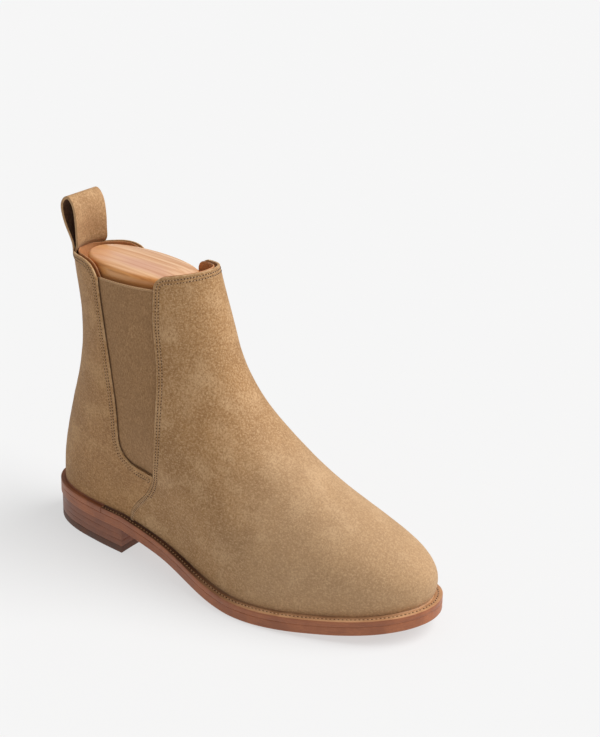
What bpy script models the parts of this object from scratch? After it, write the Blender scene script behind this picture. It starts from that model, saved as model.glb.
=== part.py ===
"""Chelsea boot, right foot, with its boot-tree block.

Sizes are in millimetres in the boot's own frame: x runs from the back of the heel to the toe,
y to the inner (medial) side, z up from the ground. Meshes are written in metres with the
origin under the middle of the sole.
"""
import math

import bmesh
import bpy
import numpy as np

MM = 0.001

# ---- driving dimensions ---------------------------------------------------------------
LENGTH = 300.0          # sole, back of heel to toe tip
HEEL_HEIGHT = 17.9      # lifts and top piece, under the outsole
BREAST_X = 79.5         # front face of the heel
BALL_X = 186.0          # where the sole meets the ground
TOE_SPRING = 11.7
GAP = 0.3               # between pieces that touch
OUTSOLE = 6.2
WELT = 3.8
TOP_PIECE = 4.8
LIFTS = 3
SUEDE = 1.6             # outer leather
BETWEEN = 1.3           # elastic, toe puff, heel counter and strap ends share this layer
ELASTIC = 1.1           # the elastic is the thinnest thing in it
LINING = 0.9
INSOLE = 2.4
SOCK = 1.2
NAIL_RADIUS = 1.0
STRAP_WIDTH = 29.0
STRAP = 2.0             # thickness of the loop's strap
TREE_TOP = 202.0        # top of the wooden block
TREE_BOTTOM = 112.0
LAYER_GAP = 0.45        # between the upper's curved layers
UPPER = SUEDE + BETWEEN + LINING + 2 * LAYER_GAP   # all the upper's layers
TREE_BACK, TREE_FRONT = 30.5, 117.5
TREE_MIDDLE, TREE_HALF_WIDTH = -2.5, 22.4
WELT_BACK = 60.0        # behind this the welt gives way to the smooth heel rand
UNDERLAP = 6.0          # elastic hidden under the suede at its seams

# The sole seen from above, clockwise from the back of the heel.
SOLE = [(0, -1.5), (8, -17), (29.6, -28.8), (79.4, -35.6), (123, -39.6), (160, -49.5),
        (202.5, -53.1), (243.8, -42.5), (282, -23), (300, 6), (288.5, 33), (255.6, 44),
        (216.4, 47.4), (170, 37), (125, 25), (72, 28.6), (29.8, 28.9), (8, 15)]

# Rings of the upper: share of the way up, back point (x, z), front point (x, z),
# half width of the round section, middle of that section, share of the round section.
RINGS = [
    (0.1, (3.2, 38), (295.5, 37.5), 39.5, 0.5, 0.06),
    (0.2, (4.3, 50), (282.5, 52), 38, -0.5, 0.22),
    (0.3, (7.0, 64), (255, 65), 37.5, -1.5, 0.42),
    (0.4, (11.2, 80), (225.5, 78), 37, -2.0, 0.64),
    (0.5, (16.0, 98), (197, 94.5), 36, -2.0, 0.82),
    (0.6, (21.4, 119), (169.5, 116), 34, -2.2, 0.94),
    (0.7, (23.6, 142), (151, 142), 31.5, -2.4, 1.0),
    (0.8, (21.9, 166), (141.5, 167), 29.8, -2.5, 1.0),
    (0.9, (17.4, 190), (133.5, 191), 28.4, -2.5, 1.0),
    (1.0, (14.5, 214), (126.5, 215), 27.6, -2.5, 1.0)]

# Seams as (x, z) seen from the side, from the top down.
FRONT_CORNER = [(112.5, 202.0), (106.2, 200.3), (103.0, 196.6), (102.5, 191.0)]
GORE_FRONT = [(102.5, 191.0), (103.9, 170.7), (107.6, 148.3), (110.2, 128.7), (111.8, 106.0),
              (112.2, 86.0), (109.8, 67.4)]
GORE_BACK = [(56.3, 189.7), (61.5, 163.3), (69.7, 131.4), (75.6, 105.7), (77.2, 88.0),
             (78.6, 79.0), (84.2, 72.3), (95.0, 67.8), (109.2, 67.2)]
LOWER_SEAM = [(109.8, 67.4), (107.3, 61.5), (100.5, 50.7), (93.0, 42.5), (87.7, 35.5),
              (85.2, 28.0)]
BACK_TOP = [(16.3, 197.0), (22.0, 197.2), (42.0, 199.0), (50.5, 196.5), (56.3, 189.7)]
FRONT_TOP = (202.0, 205.6)         # height of the front topline at its ends and its middle


# ---- curves ---------------------------------------------------------------------------
def spline(knots, values):
    """Natural cubic spline through values (rows) at the knots."""
    t, y = np.asarray(knots, float), np.asarray(values, float)
    h = np.diff(t)
    count = len(t)
    matrix = np.eye(count)
    right = np.zeros_like(y)
    for i in range(1, count - 1):
        matrix[i, i - 1:i + 2] = h[i - 1], 2 * (h[i - 1] + h[i]), h[i]
        right[i] = 6 * ((y[i + 1] - y[i]) / h[i] - (y[i] - y[i - 1]) / h[i - 1])
    bend = np.linalg.solve(matrix, right)

    def value(x):
        x = np.asarray(x, float)
        flat = x.ravel()
        k = np.clip(np.searchsorted(t, flat, side="right") - 1, 0, count - 2)
        a, b, width = (t[k + 1] - flat)[:, None], (flat - t[k])[:, None], h[k][:, None]
        result = ((bend[k] * a**3 + bend[k + 1] * b**3) / (6 * width)
                  + (y[k] / width - bend[k] * width / 6) * a
                  + (y[k + 1] / width - bend[k + 1] * width / 6) * b)
        return result.reshape(x.shape + (y.shape[1],))
    return value


def curve(points, count):
    """Points evenly spread along a smooth line through the given ones."""
    points = np.asarray(points, float)
    along = np.r_[0, np.cumsum(np.linalg.norm(np.diff(points, axis=0), axis=1))]
    fine = spline(along, points)(np.linspace(0, along[-1], 60 * len(points)))
    length = np.r_[0, np.cumsum(np.linalg.norm(np.diff(fine, axis=0), axis=1))]
    places = np.linspace(0, length[-1], count)
    return np.stack([np.interp(places, length, fine[:, i]) for i in range(fine.shape[1])], -1)


def closed_curve(points, count):
    """Points evenly spread along a smooth closed line."""
    points = np.asarray(points, float)
    size = len(points)
    wrapped = np.vstack([points[-3:], points, points[:4]])
    along = np.r_[0, np.cumsum(np.linalg.norm(np.diff(wrapped, axis=0), axis=1) ** 0.5)]
    start, end = along[3], along[3 + size]
    fine = spline(along, wrapped)(np.linspace(start, end, 1200))
    length = np.r_[0, np.cumsum(np.linalg.norm(np.diff(fine, axis=0), axis=1))]
    places = np.linspace(0, length[-1], count, endpoint=False)
    return np.stack([np.interp(places, length, fine[:, i]) for i in range(2)], -1)


def closed_line(points, count=400):
    """Points evenly spread along a closed straight-sided line."""
    loop = np.vstack([points, points[:1]])
    length = np.r_[0, np.cumsum(np.linalg.norm(np.diff(loop, axis=0), axis=1))]
    places = np.linspace(0, length[-1], count, endpoint=False)
    return np.stack([np.interp(places, length, loop[:, i]) for i in range(2)], -1)


def step(x, low, high):
    """Smooth rise from 0 at low to 1 at high."""
    t = np.clip((np.asarray(x, float) - low) / (high - low), 0, 1)
    return t * t * (3 - 2 * t)


# ---- the sole's shape -----------------------------------------------------------------
def tread(x):
    """Height of the outsole's underside."""
    x = np.asarray(x, float)
    u = np.clip((x - BREAST_X) / (BALL_X - BREAST_X), 0, 1)
    v = np.clip((x - BALL_X) / (LENGTH - BALL_X), 0, 1)
    return HEEL_HEIGHT * (1 - u)**1.6 * (1 + 0.6 * u) + TOE_SPRING * v**1.8


def welt_width(x):
    """How far the welt stands out from the upper."""
    return 2.9 + 2.1 * step(x, 60, 180)


def inset(outline, distance):
    """A closed outline moved inwards."""
    tangent = np.roll(outline, -1, 0) - np.roll(outline, 1, 0)
    tangent /= np.linalg.norm(tangent, axis=1)[:, None]
    inward = np.stack([-tangent[:, 1], tangent[:, 0]], -1)
    return outline + inward * (np.asarray(distance) * np.ones(len(outline)))[:, None]


OUTLINE = closed_curve(SOLE, 1440)
MIDDLE = (OUTLINE.max(0) + OUTLINE.min(0)) / 2
FEATHER = inset(OUTLINE, welt_width(OUTLINE[:, 0]))


def two_sides(outline):
    """Back and front x of a closed outline, and y of its two sides against the angle."""
    back, front = outline[:, 0].argmin(), outline[:, 0].argmax()
    low, high = outline[back, 0], outline[front, 0]
    order = np.roll(outline, -back, 0)
    split = (front - back) % len(outline)
    sides = []
    for side in (order[:split + 1], np.vstack([order[split:], order[:1]])[::-1]):
        angle = np.arccos(np.clip(1 - 2 * (side[:, 0] - low) / (high - low), -1, 1))
        sides.append((angle, side[:, 1]))
    return low, high, sides


FEATHER_BACK, FEATHER_FRONT, SIDES = two_sides(FEATHER)
EDGE_GAP = 0.9          # under the upper's lower edge, which leans a little
LAYER_EDGE = 0.02       # v where the hidden layers of the upper begin
BED = OUTSOLE + WELT + GAP + EDGE_GAP     # from the tread up to the upper's edge

# Every layer of the sole turns at the same places, so that the layers lie flat on each other.
ALONG = LENGTH * (1 - np.cos(np.linspace(0, math.pi, 46))) / 2
ALONG[np.abs(ALONG - BREAST_X).argmin()] = BREAST_X
STATIONS = ALONG[1:-1]


def ring_values(v):
    ends = (0.0, (FEATHER_BACK, float(tread(FEATHER_BACK)) + BED),
            (FEATHER_FRONT, float(tread(FEATHER_FRONT)) + BED), 41.0, 1.5, 0.0)
    rows = [ends] + RINGS
    table = [[*row[1], *row[2], *row[3:]] for row in rows]
    return spline([row[0] for row in rows], table)(v)


def upper(angle, v):
    """A point on the upper's outer face: angle 0 at the back, a quarter turn on the outer
    side, half a turn at the toe; v from 0 at the welt to 1 above the topline."""
    angle, v = np.broadcast_arrays(np.asarray(angle, float), np.asarray(v, float))
    back_x, back_z, front_x, front_z, width, middle, share = np.moveaxis(ring_values(v), -1, 0)
    s = (1 - np.cos(angle)) / 2
    x = back_x + (front_x - back_x) * s
    z = back_z + (front_z - back_z) * s
    foot_x = FEATHER_BACK + (FEATHER_FRONT - FEATHER_BACK) * s
    chord = tread(FEATHER_BACK) + (tread(FEATHER_FRONT) - tread(FEATHER_BACK)) * s
    z = z + (tread(foot_x) - chord) * (1 - v)**3
    outer = np.sin(angle) >= 0
    around = np.arccos(np.clip(np.cos(angle), -1, 1))
    foot = np.where(outer, np.interp(around, *SIDES[0]), np.interp(around, *SIDES[1]))
    turn = np.abs(np.sin(around)) ** (2 / 2.25)
    fullness = width * turn
    shaft = middle * np.sin(around)**2 + np.where(outer, -fullness, fullness)
    return np.stack([x, foot * (1 - share) + shaft * share, z], -1)


def inside(angle, v, depth):
    """A point of the upper moved in by depth from its outer face."""
    step_size = 1e-3
    v = np.clip(v, 0, 1)
    du = upper(angle + step_size, v) - upper(angle - step_size, v)
    dv = upper(angle, v + step_size) - upper(angle, v - step_size)
    normal = np.cross(du, dv)
    normal /= np.linalg.norm(normal, axis=-1)[..., None] + 1e-12
    return upper(angle, v) - normal * depth


def locate(points, side=1):
    """Angle and v of points given as (x, z), seen from the side."""
    points = np.asarray(points, float)
    angle = np.full(len(points), math.pi / 2)
    v = np.clip((points[:, 1] - 28) / 186, 0.02, 0.98)
    for _ in range(60):
        here = upper(angle, v)[:, [0, 2]]
        across = (upper(angle + 1e-4, v)[:, [0, 2]] - here) / 1e-4
        along = (upper(angle, v + 1e-4)[:, [0, 2]] - here) / 1e-4
        miss = points - here
        area = across[:, 0] * along[:, 1] - across[:, 1] * along[:, 0]
        d_angle = (miss[:, 0] * along[:, 1] - miss[:, 1] * along[:, 0]) / area
        d_v = (across[:, 0] * miss[:, 1] - across[:, 1] * miss[:, 0]) / area
        angle = np.clip(angle + np.clip(d_angle, -0.3, 0.3), 0.001, math.pi - 0.001)
        v = np.clip(v + np.clip(d_v, -0.1, 0.1), 0, 0.999)
    return np.stack([angle if side > 0 else 2 * math.pi - angle, v], -1)


def at_height(angle, height):
    """v where the upper reaches a height at an angle."""
    angle, height = np.broadcast_arrays(np.asarray(angle, float), np.asarray(height, float))
    low, high = np.zeros(angle.shape), np.ones(angle.shape)
    for _ in range(40):
        middle = (low + high) / 2
        below = upper(angle, middle)[..., 2] < height
        low, high = np.where(below, middle, low), np.where(below, high, middle)
    return (low + high) / 2


def patch(left, right, top, bottom):
    """Angles and v over a four-sided area: sides run from the top down, top and bottom
    from left to right."""
    r = np.linspace(0, 1, len(left))[:, None, None]
    c = np.linspace(0, 1, len(top))[None, :, None]
    sides = (1 - c) * left[:, None] + c * right[:, None]
    ends = (1 - r) * top[None] + r * bottom[None]
    corners = ((1 - r) * ((1 - c) * top[0] + c * top[-1])
               + r * ((1 - c) * bottom[0] + c * bottom[-1]))
    return sides + ends - corners


def mirrored(line):
    """The same line on the medial side."""
    return np.stack([2 * math.pi - line[:, 0], line[:, 1]], -1)


# ---- objects --------------------------------------------------------------------------
for old in list(bpy.data.objects):
    bpy.data.objects.remove(old, do_unlink=True)
for old in list(bpy.data.collections):
    bpy.data.collections.remove(old)

boot = bpy.data.collections.new("chelsea_boot")
cutters = bpy.data.collections.new("cutters")
for group in (boot, cutters):
    bpy.context.scene.collection.children.link(group)


def material(name, colour, roughness, metallic=0.0):
    made = bpy.data.materials.new(name)
    made.use_nodes = True
    shader = made.node_tree.nodes["Principled BSDF"]
    shader.inputs["Base Color"].default_value = (*colour, 1)
    shader.inputs["Roughness"].default_value = roughness
    shader.inputs["Metallic"].default_value = metallic
    return made


COLOURS = {
    "suede": ((0.36, 0.22, 0.115), 0.95),
    "elastic": ((0.20, 0.12, 0.065), 0.9),
    "binding": ((0.56, 0.33, 0.19), 0.8),
    "lining": ((0.50, 0.23, 0.10), 0.6),
    "stiffener": ((0.62, 0.52, 0.40), 0.8),
    "welt": ((0.47, 0.22, 0.10), 0.5),
    "sole": ((0.24, 0.085, 0.045), 0.42),
    "rubber": ((0.05, 0.03, 0.022), 0.75),
    "insole": ((0.55, 0.36, 0.20), 0.7),
    "cork": ((0.38, 0.22, 0.11), 0.9),
    "steel": ((0.55, 0.55, 0.57), 0.3, 1.0),
    "brass": ((0.72, 0.50, 0.20), 0.3, 1.0),
    "cedar": ((0.62, 0.30, 0.13), 0.25)}


def to_world(points):
    """Boot millimetres to world metres."""
    points = np.asarray(points, float)
    return (points - [MIDDLE[0], MIDDLE[1], 0]) * MM


def place(name, mesh, finish, group=boot):
    part = bpy.data.objects.new(name, mesh)
    part.data.materials.append(material(name, *COLOURS[finish]))
    group.objects.link(part)
    return part


def mesh_from(name, points, faces):
    mesh = bpy.data.meshes.new(name)
    mesh.from_pydata([tuple(p) for p in to_world(points)], [], faces)
    mesh.update()
    return mesh


def outward(mesh):
    """Turn a closed mesh's faces out."""
    work = bmesh.new()
    work.from_mesh(mesh)
    bmesh.ops.recalc_face_normals(work, faces=work.faces)
    work.to_mesh(mesh)
    work.free()
    mesh.shade_smooth()
    mesh.set_sharp_from_angle(angle=math.radians(35))


def sheet(name, area, depth, thickness, finish):
    """Leather cut to an area of the upper, lying at a depth under its outer face."""
    rows, columns = area.shape[:2]
    faces = [(i * columns + j, (i + 1) * columns + j, (i + 1) * columns + j + 1,
              i * columns + j + 1) for i in range(rows - 1) for j in range(columns - 1)]
    lowest = LAYER_EDGE if depth else 0
    points = inside(area[..., 0], np.maximum(area[..., 1], lowest), depth).reshape(-1, 3)
    mesh = mesh_from(name, points, faces)
    part = place(name, mesh, finish)
    thick = part.modifiers.new("Thickness", "SOLIDIFY")
    thick.thickness = thickness * MM
    thick.offset = -1
    mesh.shade_smooth()
    return part


def slab(name, outline, low, high, finish):
    """A sole layer: an outline between two heights that follow x."""
    back, front, (lateral, medial) = two_sides(outline)
    between_ends = STATIONS[(STATIONS > back + 0.8) & (STATIONS < front - 0.8)]
    x = np.r_[back, between_ends, front]
    stations = len(x)
    angle = np.arccos(np.clip(1 - 2 * (x - back) / (front - back), -1, 1))
    left, right = np.interp(angle, *lateral), np.interp(angle, *medial)
    points, index = [], {}
    for i in range(stations):
        sides = (left[i],) if i in (0, stations - 1) else (left[i], right[i])
        for j, y in enumerate(sides):
            for k, height in enumerate((low, high)):
                index[i, j, k] = len(points)
                points.append((x[i], y, float(height(x[i]))))
        if len(sides) == 1:
            index[i, 1, 0], index[i, 1, 1] = index[i, 0, 0], index[i, 0, 1]
    faces = []
    for i in range(stations - 1):
        for corners in (((i, 0, 0), (i + 1, 0, 0), (i + 1, 1, 0), (i, 1, 0)),
                        ((i, 0, 1), (i, 1, 1), (i + 1, 1, 1), (i + 1, 0, 1)),
                        ((i, 0, 0), (i, 0, 1), (i + 1, 0, 1), (i + 1, 0, 0)),
                        ((i, 1, 0), (i + 1, 1, 0), (i + 1, 1, 1), (i, 1, 1))):
            face = list(dict.fromkeys(index[corner] for corner in corners))
            faces.append(face)
    mesh = mesh_from(name, points, faces)
    outward(mesh)
    return place(name, mesh, finish)


def strip(name, first, last, outer, inner, low, high, finish, count):
    """Part of the ring along the sole's edge, from one outline point to another."""
    chosen = np.linspace(first, last, count).round().astype(int) % len(OUTLINE)
    rims = [inset(OUTLINE, outer(OUTLINE[:, 0]))[chosen],
            inset(OUTLINE, inner(OUTLINE[:, 0]))[chosen]]
    points = [(x, y, float(height(x))) for rim in rims for height in (low, high)
              for x, y in rim]
    faces = []
    for a, b in ((0, 1), (1, 3), (3, 2), (2, 0)):
        faces += [(a * count + i, a * count + i + 1, b * count + i + 1, b * count + i)
                  for i in range(count - 1)]
    faces += [(0, count, 3 * count, 2 * count),
              (count - 1, 2 * count - 1, 4 * count - 1, 3 * count - 1)]
    mesh = mesh_from(name, points, faces)
    outward(mesh)
    return place(name, mesh, finish)


def prism(name, outline, low, high, finish):
    """A flat outline raised from one height to another."""
    flat = bpy.data.curves.new(name, "CURVE")
    flat.dimensions = "2D"
    flat.fill_mode = "BOTH"
    flat.extrude = (high - low) / 2 * MM
    rim = flat.splines.new("POLY")
    rim.points.add(len(outline) - 1)
    rim.use_cyclic_u = True
    for point, (x, y) in zip(rim.points, outline):
        x, y, _ = to_world((x, y, 0))
        point.co = (x, y, 0, 1)
    guide = bpy.data.objects.new(name, flat)
    boot.objects.link(guide)
    guide.location.z = (low + high) / 2 * MM
    view = bpy.context.evaluated_depsgraph_get()
    mesh = bpy.data.meshes.new_from_object(guide.evaluated_get(view))
    height = guide.location.z
    bpy.data.objects.remove(guide, do_unlink=True)
    work = bmesh.new()
    work.from_mesh(mesh)
    bmesh.ops.remove_doubles(work, verts=work.verts, dist=1e-6)
    work.to_mesh(mesh)
    work.free()
    mesh.materials.clear()
    outward(mesh)
    part = place(name, mesh, finish)
    part.location.z = height
    return part


def cut(part, cutter):
    """Take a cutter out of a part."""
    cutter.hide_render = True
    cutter.display_type = "WIRE"
    hole = part.modifiers.new("Cut", "BOOLEAN")
    hole.operation = "DIFFERENCE"
    hole.object = cutter


# ---- upper ----------------------------------------------------------------------------
CORNER_ROWS, GORE_ROWS, SEAM_ROWS = 4, 11, 9
VAMP_COLUMNS, QUARTER_COLUMNS = 27, 11
SEAM_ANGLE = 0.0095     # half the slit at the back seam


def joined(*lines):
    """Lines end to end, without doubled points."""
    return np.vstack([lines[0]] + [line[1:] for line in lines[1:]])


def vamp_area():
    edge = joined(locate(curve(FRONT_CORNER, CORNER_ROWS)), locate(curve(GORE_FRONT, GORE_ROWS)),
                  locate(curve(LOWER_SEAM, SEAM_ROWS)))
    edge[-1, 1] = 0
    top_angle = np.linspace(edge[0, 0], 2 * math.pi - edge[0, 0], VAMP_COLUMNS)
    low, high = FRONT_TOP
    share = 1 - ((top_angle - math.pi) / (math.pi - edge[0, 0]))**2
    top = np.stack([top_angle, at_height(top_angle, low + (high - low) * share)], -1)
    top[0], top[-1] = edge[0], mirrored(edge[:1])[0]
    bottom_angle = np.linspace(edge[-1, 0], 2 * math.pi - edge[-1, 0], VAMP_COLUMNS)
    bottom = np.stack([bottom_angle, np.zeros(VAMP_COLUMNS)], -1)
    return patch(edge, mirrored(edge), top, bottom)


def quarter_area():
    """The lateral back piece, from the back seam to the elastic and the vamp."""
    seam = np.asarray(LOWER_SEAM) - [0.9, 0]
    gore = np.asarray(GORE_BACK)
    gore[-1] = seam[0]
    edge = joined(locate(curve(gore, GORE_ROWS + 3)), locate(curve(seam, SEAM_ROWS - 2)))
    edge[-1, 1] = 0
    rows = len(edge)
    top_line = locate(curve(BACK_TOP, 30))
    top_angle = np.linspace(SEAM_ANGLE, edge[0, 0], QUARTER_COLUMNS)
    top = np.stack([top_angle, np.interp(top_angle, top_line[:, 0], top_line[:, 1])], -1)
    top[-1] = edge[0]
    bottom_angle = np.linspace(SEAM_ANGLE, edge[-1, 0], QUARTER_COLUMNS)
    bottom = np.stack([bottom_angle, np.zeros(QUARTER_COLUMNS)], -1)
    back = np.stack([np.full(rows, SEAM_ANGLE), np.linspace(top[0, 1], 0, rows)], -1)
    return patch(back, edge, top, bottom)


def other_side(area):
    """An area of the lateral side on the medial side."""
    turned = area[:, ::-1].copy()
    turned[..., 0] = 2 * math.pi - turned[..., 0]
    return turned


def across_back(area):
    """A lateral area joined to its mirror image through the back."""
    medial = other_side(area)
    medial[..., 0] -= 2 * math.pi
    whole = np.concatenate([medial[:, :-1], area], axis=1)
    whole[:, area.shape[1] - 1, 0] = 0
    return whole


def gore_area():
    """Elastic with the hidden laps round its edges."""
    back = [(x - UNDERLAP, z) for x, z in GORE_BACK[:5]]
    front = [(x + UNDERLAP, z) for x, z in GORE_FRONT]
    front[-1] = (114.0, 60.5)
    bottom = [back[-1], (74.5, 73.0), (84.0, 65.0), (98.0, 61.5), front[-1]]
    rows, columns = 11, 8
    left, right = locate(curve(back, rows)), locate(curve(front, rows))
    low = locate(curve(bottom, columns))
    top = left[0] + (right[0] - left[0]) * np.linspace(0, 1, columns)[:, None]
    return patch(left, right, top, low)


def binding_area():
    """Tape folded over the elastic's top edge, seen between the suede edges."""
    lower = locate([(57.6, 190.3), (101.6, 191.6)])
    upper_edge = locate([(57.4, 191.9), (101.5, 193.2)])
    share = np.linspace(0, 1, 8)[:, None]
    rows = [line[0] + (line[1] - line[0]) * share for line in (upper_edge, lower)]
    return np.stack(rows)


vamp_shape = vamp_area()
quarter_shape = quarter_area()
back_shape = across_back(quarter_shape)
gore_shape = gore_area()
between = SUEDE + LAYER_GAP
lining_depth = between + BETWEEN + LAYER_GAP

sheet("vamp", vamp_shape, 0, SUEDE, "suede")
sheet("quarter_lateral", quarter_shape, 0, SUEDE, "suede")
sheet("quarter_medial", other_side(quarter_shape), 0, SUEDE, "suede")
sheet("gore_lateral", gore_shape, between, ELASTIC, "elastic")
sheet("gore_medial", other_side(gore_shape), between, ELASTIC, "elastic")
sheet("gore_binding_lateral", binding_area(), between - 0.15, BETWEEN + 0.3, "binding")
sheet("gore_binding_medial", other_side(binding_area()), between - 0.15, BETWEEN + 0.3,
      "binding")
sheet("vamp_lining", vamp_shape, lining_depth, LINING, "lining")
sheet("quarter_lining", back_shape, lining_depth, LINING, "lining")

toe_rows = CORNER_ROWS + GORE_ROWS + 2
sheet("toe_puff", vamp_shape[toe_rows:, 6:-6], between, BETWEEN, "stiffener")
counter_row, counter_side = GORE_ROWS + 4, 3
sheet("heel_counter", back_shape[counter_row:, counter_side:-counter_side], between, BETWEEN,
      "stiffener")

# ---- bottom ---------------------------------------------------------------------------
NAILS = [(14, 0), (27, -15), (27, 15), (52, -19), (52, 19)]
SHANK_FROM, SHANK_TO, SHANK_WIDTH, SHANK = 66.0, 168.0, 14.0, 1.2
SHANK_OFFSET = 4.0      # the shank lies to the outer side of the middle
SLOT_GAP = 0.6


def above_tread(rise):
    """A height that follows the tread."""
    return lambda x: tread(x) + rise


def fixed(rise):
    """An inset that is the same all round."""
    return lambda x: np.full(np.shape(x), rise)


def under_upper(x):
    return welt_width(x) + UPPER + GAP


outsole = slab("outsole", OUTLINE, above_tread(0), above_tread(OUTSOLE), "sole")

welt_bed, welt_top = OUTSOLE + GAP, OUTSOLE + GAP + WELT
side = OUTLINE[:, 0] > WELT_BACK
front_end = int(OUTLINE[:, 0].argmax())
ahead = np.roll(side, -front_end)
after_toe = int(np.argmin(ahead))
before_toe = int(np.argmin(ahead[::-1]))
welt_first, welt_last = front_end - before_toe + 1, front_end + after_toe - 2
strip("welt", welt_first, welt_last, fixed(0.0), under_upper, above_tread(welt_bed),
      above_tread(welt_top), "welt", 60)
strip("heel_rand", welt_last + 3, welt_first + len(OUTLINE) - 3, fixed(0.0), under_upper,
      above_tread(welt_bed), above_tread(welt_top), "sole", 24)

inner = inset(OUTLINE, under_upper(OUTLINE[:, 0]) + GAP)
cork = slab("cork_filler", inner, above_tread(welt_bed), above_tread(welt_top), "cork")
insole_bed = welt_top + GAP
slab("insole", inner, above_tread(insole_bed), above_tread(insole_bed + INSOLE), "insole")
sock_bed = insole_bed + INSOLE + GAP
slab("sock_liner", inset(OUTLINE, under_upper(OUTLINE[:, 0]) + 1.2), above_tread(sock_bed),
     above_tread(sock_bed + SOCK), "lining")


def shank_outline():
    """A strip with round ends under the waist."""
    half = SHANK_WIDTH / 2
    turn = np.linspace(-math.pi / 2, math.pi / 2, 9)
    front = [(SHANK_TO - half + half * math.cos(a), half * math.sin(a)) for a in turn]
    back = [(SHANK_FROM + half - half * math.cos(a), -half * math.sin(a)) for a in turn]
    return np.array(front + back) - [0, SHANK_OFFSET]


shank_bed = welt_top - SHANK - GAP
slab("shank", closed_line(shank_outline()), above_tread(shank_bed),
     above_tread(shank_bed + SHANK), "steel")
slot_x = np.r_[SHANK_FROM - SLOT_GAP, STATIONS[(STATIONS > SHANK_FROM) & (STATIONS < SHANK_TO)],
               SHANK_TO + SLOT_GAP]
slot_rows = []
for x in slot_x:
    low, high = float(tread(x)) + shank_bed - SLOT_GAP, float(tread(x)) + welt_top + 1
    slot_rows += [(x, y - SHANK_OFFSET, z) for y, z in (
        (-SHANK_WIDTH / 2 - SLOT_GAP, low), (SHANK_WIDTH / 2 + SLOT_GAP, low),
        (SHANK_WIDTH / 2 + SLOT_GAP, high), (-SHANK_WIDTH / 2 - SLOT_GAP, high))]
slot_faces = [(4 * i + j, 4 * i + (j + 1) % 4, 4 * i + 4 + (j + 1) % 4, 4 * i + 4 + j)
              for i in range(len(slot_x) - 1) for j in range(4)]
slot_faces += [(0, 1, 2, 3), tuple(4 * len(slot_x) - k for k in (1, 2, 3, 4))]
slot_mesh = mesh_from("shank_slot", slot_rows, slot_faces)
outward(slot_mesh)
cut(cork, place("shank_slot", slot_mesh, "steel", cutters))

HEEL_INSET, RIM_POINTS = 0.8, 14
heel_edge = inset(OUTLINE, HEEL_INSET)
start = int(heel_edge[:, 0].argmin())
heel_edge = np.roll(heel_edge, -start, 0)
heel_side = heel_edge[heel_edge[:, 0] < BREAST_X]
split = np.argmax(np.linalg.norm(np.diff(heel_side, axis=0), axis=1)) + 1
lateral_rim, medial_rim = (rim[np.linspace(0, len(rim) - 1, RIM_POINTS).round().astype(int)]
                           for rim in (heel_side[:split], heel_side[split:]))
lateral_rim[-1, 0] = medial_rim[0, 0] = BREAST_X
heel_outline = np.vstack([lateral_rim, medial_rim[:-1]])

lift = (HEEL_HEIGHT - TOP_PIECE - (LIFTS + 1) * GAP) / LIFTS
prism("heel_top_piece", heel_outline, 0, TOP_PIECE, "rubber")
drilled = [outsole]
for number in range(LIFTS):
    bed = TOP_PIECE + GAP + number * (lift + GAP)
    drilled.append(prism(f"heel_lift_{number + 1}", heel_outline, bed, bed + lift, "sole"))

nail_foot, nail_head = TOP_PIECE + 2.0, HEEL_HEIGHT + OUTSOLE - 0.6


def round_bar(name, x, y, radius, low, high, group):
    """An upright cylinder."""
    bpy.ops.mesh.primitive_cylinder_add(vertices=10, radius=radius * MM,
                                        depth=(high - low) * MM)
    bar = bpy.context.object
    bar.name = name
    for owner in list(bar.users_collection):
        owner.objects.unlink(bar)
    group.objects.link(bar)
    bar.location = to_world((x, y, (low + high) / 2))
    return bar


for number, (x, y) in enumerate(NAILS, 1):
    nail = round_bar(f"heel_nail_{number}", x, y, NAIL_RADIUS, nail_foot, nail_head, boot)
    nail.data.materials.append(material(nail.name, *COLOURS["brass"]))
    bore = round_bar(f"nail_hole_{number}", x, y, NAIL_RADIUS + GAP, nail_foot - GAP,
                     HEEL_HEIGHT + OUTSOLE + 1, cutters)
    for part in drilled:
        cut(part, bore)

# ---- pull loop ------------------------------------------------------------------------
# The strap's middle line from its front leg over the top to its back leg, as (x, z).
LOOP = [(23.2, 199.2), (23.7, 206.0), (24.2, 213.0), (24.4, 221.0), (22.6, 229.0),
        (18.2, 233.6), (14.9, 229.5), (14.4, 222.5), (16.6, 213.0), (19.4, 205.0),
        (20.6, 199.2)]
HINGE = (21.9, 199.4)
STRAP_TAB = 4           # columns of the back area on each side of the seam
TAB_DROP = 1.4          # the tab ends lower than the topline, clear of the leaning loop


def strap_bow(y):
    """The strap bends round the back of the leg: forward shift at a distance from the
    middle."""
    return 4.6 * (y / (STRAP_WIDTH / 2))**2 - 1.6


def loop_mesh():
    path = curve(LOOP, 29)
    tangent = np.gradient(path, axis=0)
    tangent /= np.linalg.norm(tangent, axis=1)[:, None]
    normal = np.stack([tangent[:, 1], -tangent[:, 0]], -1)
    fade = 1 - step(path[:, 1], HINGE[1], LOOP[5][1] - 6)
    across = np.linspace(-STRAP_WIDTH / 2, STRAP_WIDTH / 2, 5)
    points, rows, columns = [], len(path), len(across)
    for side_sign in (1, -1):
        line = path + normal * STRAP / 2 * side_sign
        for i in range(rows):
            for y in across:
                points.append((line[i, 0] + strap_bow(y) * fade[i], y, line[i, 1]))

    def at(layer, i, j):
        return layer * rows * columns + i * columns + j
    faces = []
    for i in range(rows - 1):
        for j in range(columns - 1):
            for layer in (0, 1):
                faces.append((at(layer, i, j), at(layer, i + 1, j), at(layer, i + 1, j + 1),
                              at(layer, i, j + 1)))
        for j in (0, columns - 1):
            faces.append((at(0, i, j), at(0, i + 1, j), at(1, i + 1, j), at(1, i, j)))
    for i in (0, rows - 1):
        for j in range(columns - 1):
            faces.append((at(0, i, j), at(0, i, j + 1), at(1, i, j + 1), at(1, i, j)))
    mesh = mesh_from("pull_loop", points, faces)
    outward(mesh)
    return mesh


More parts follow.
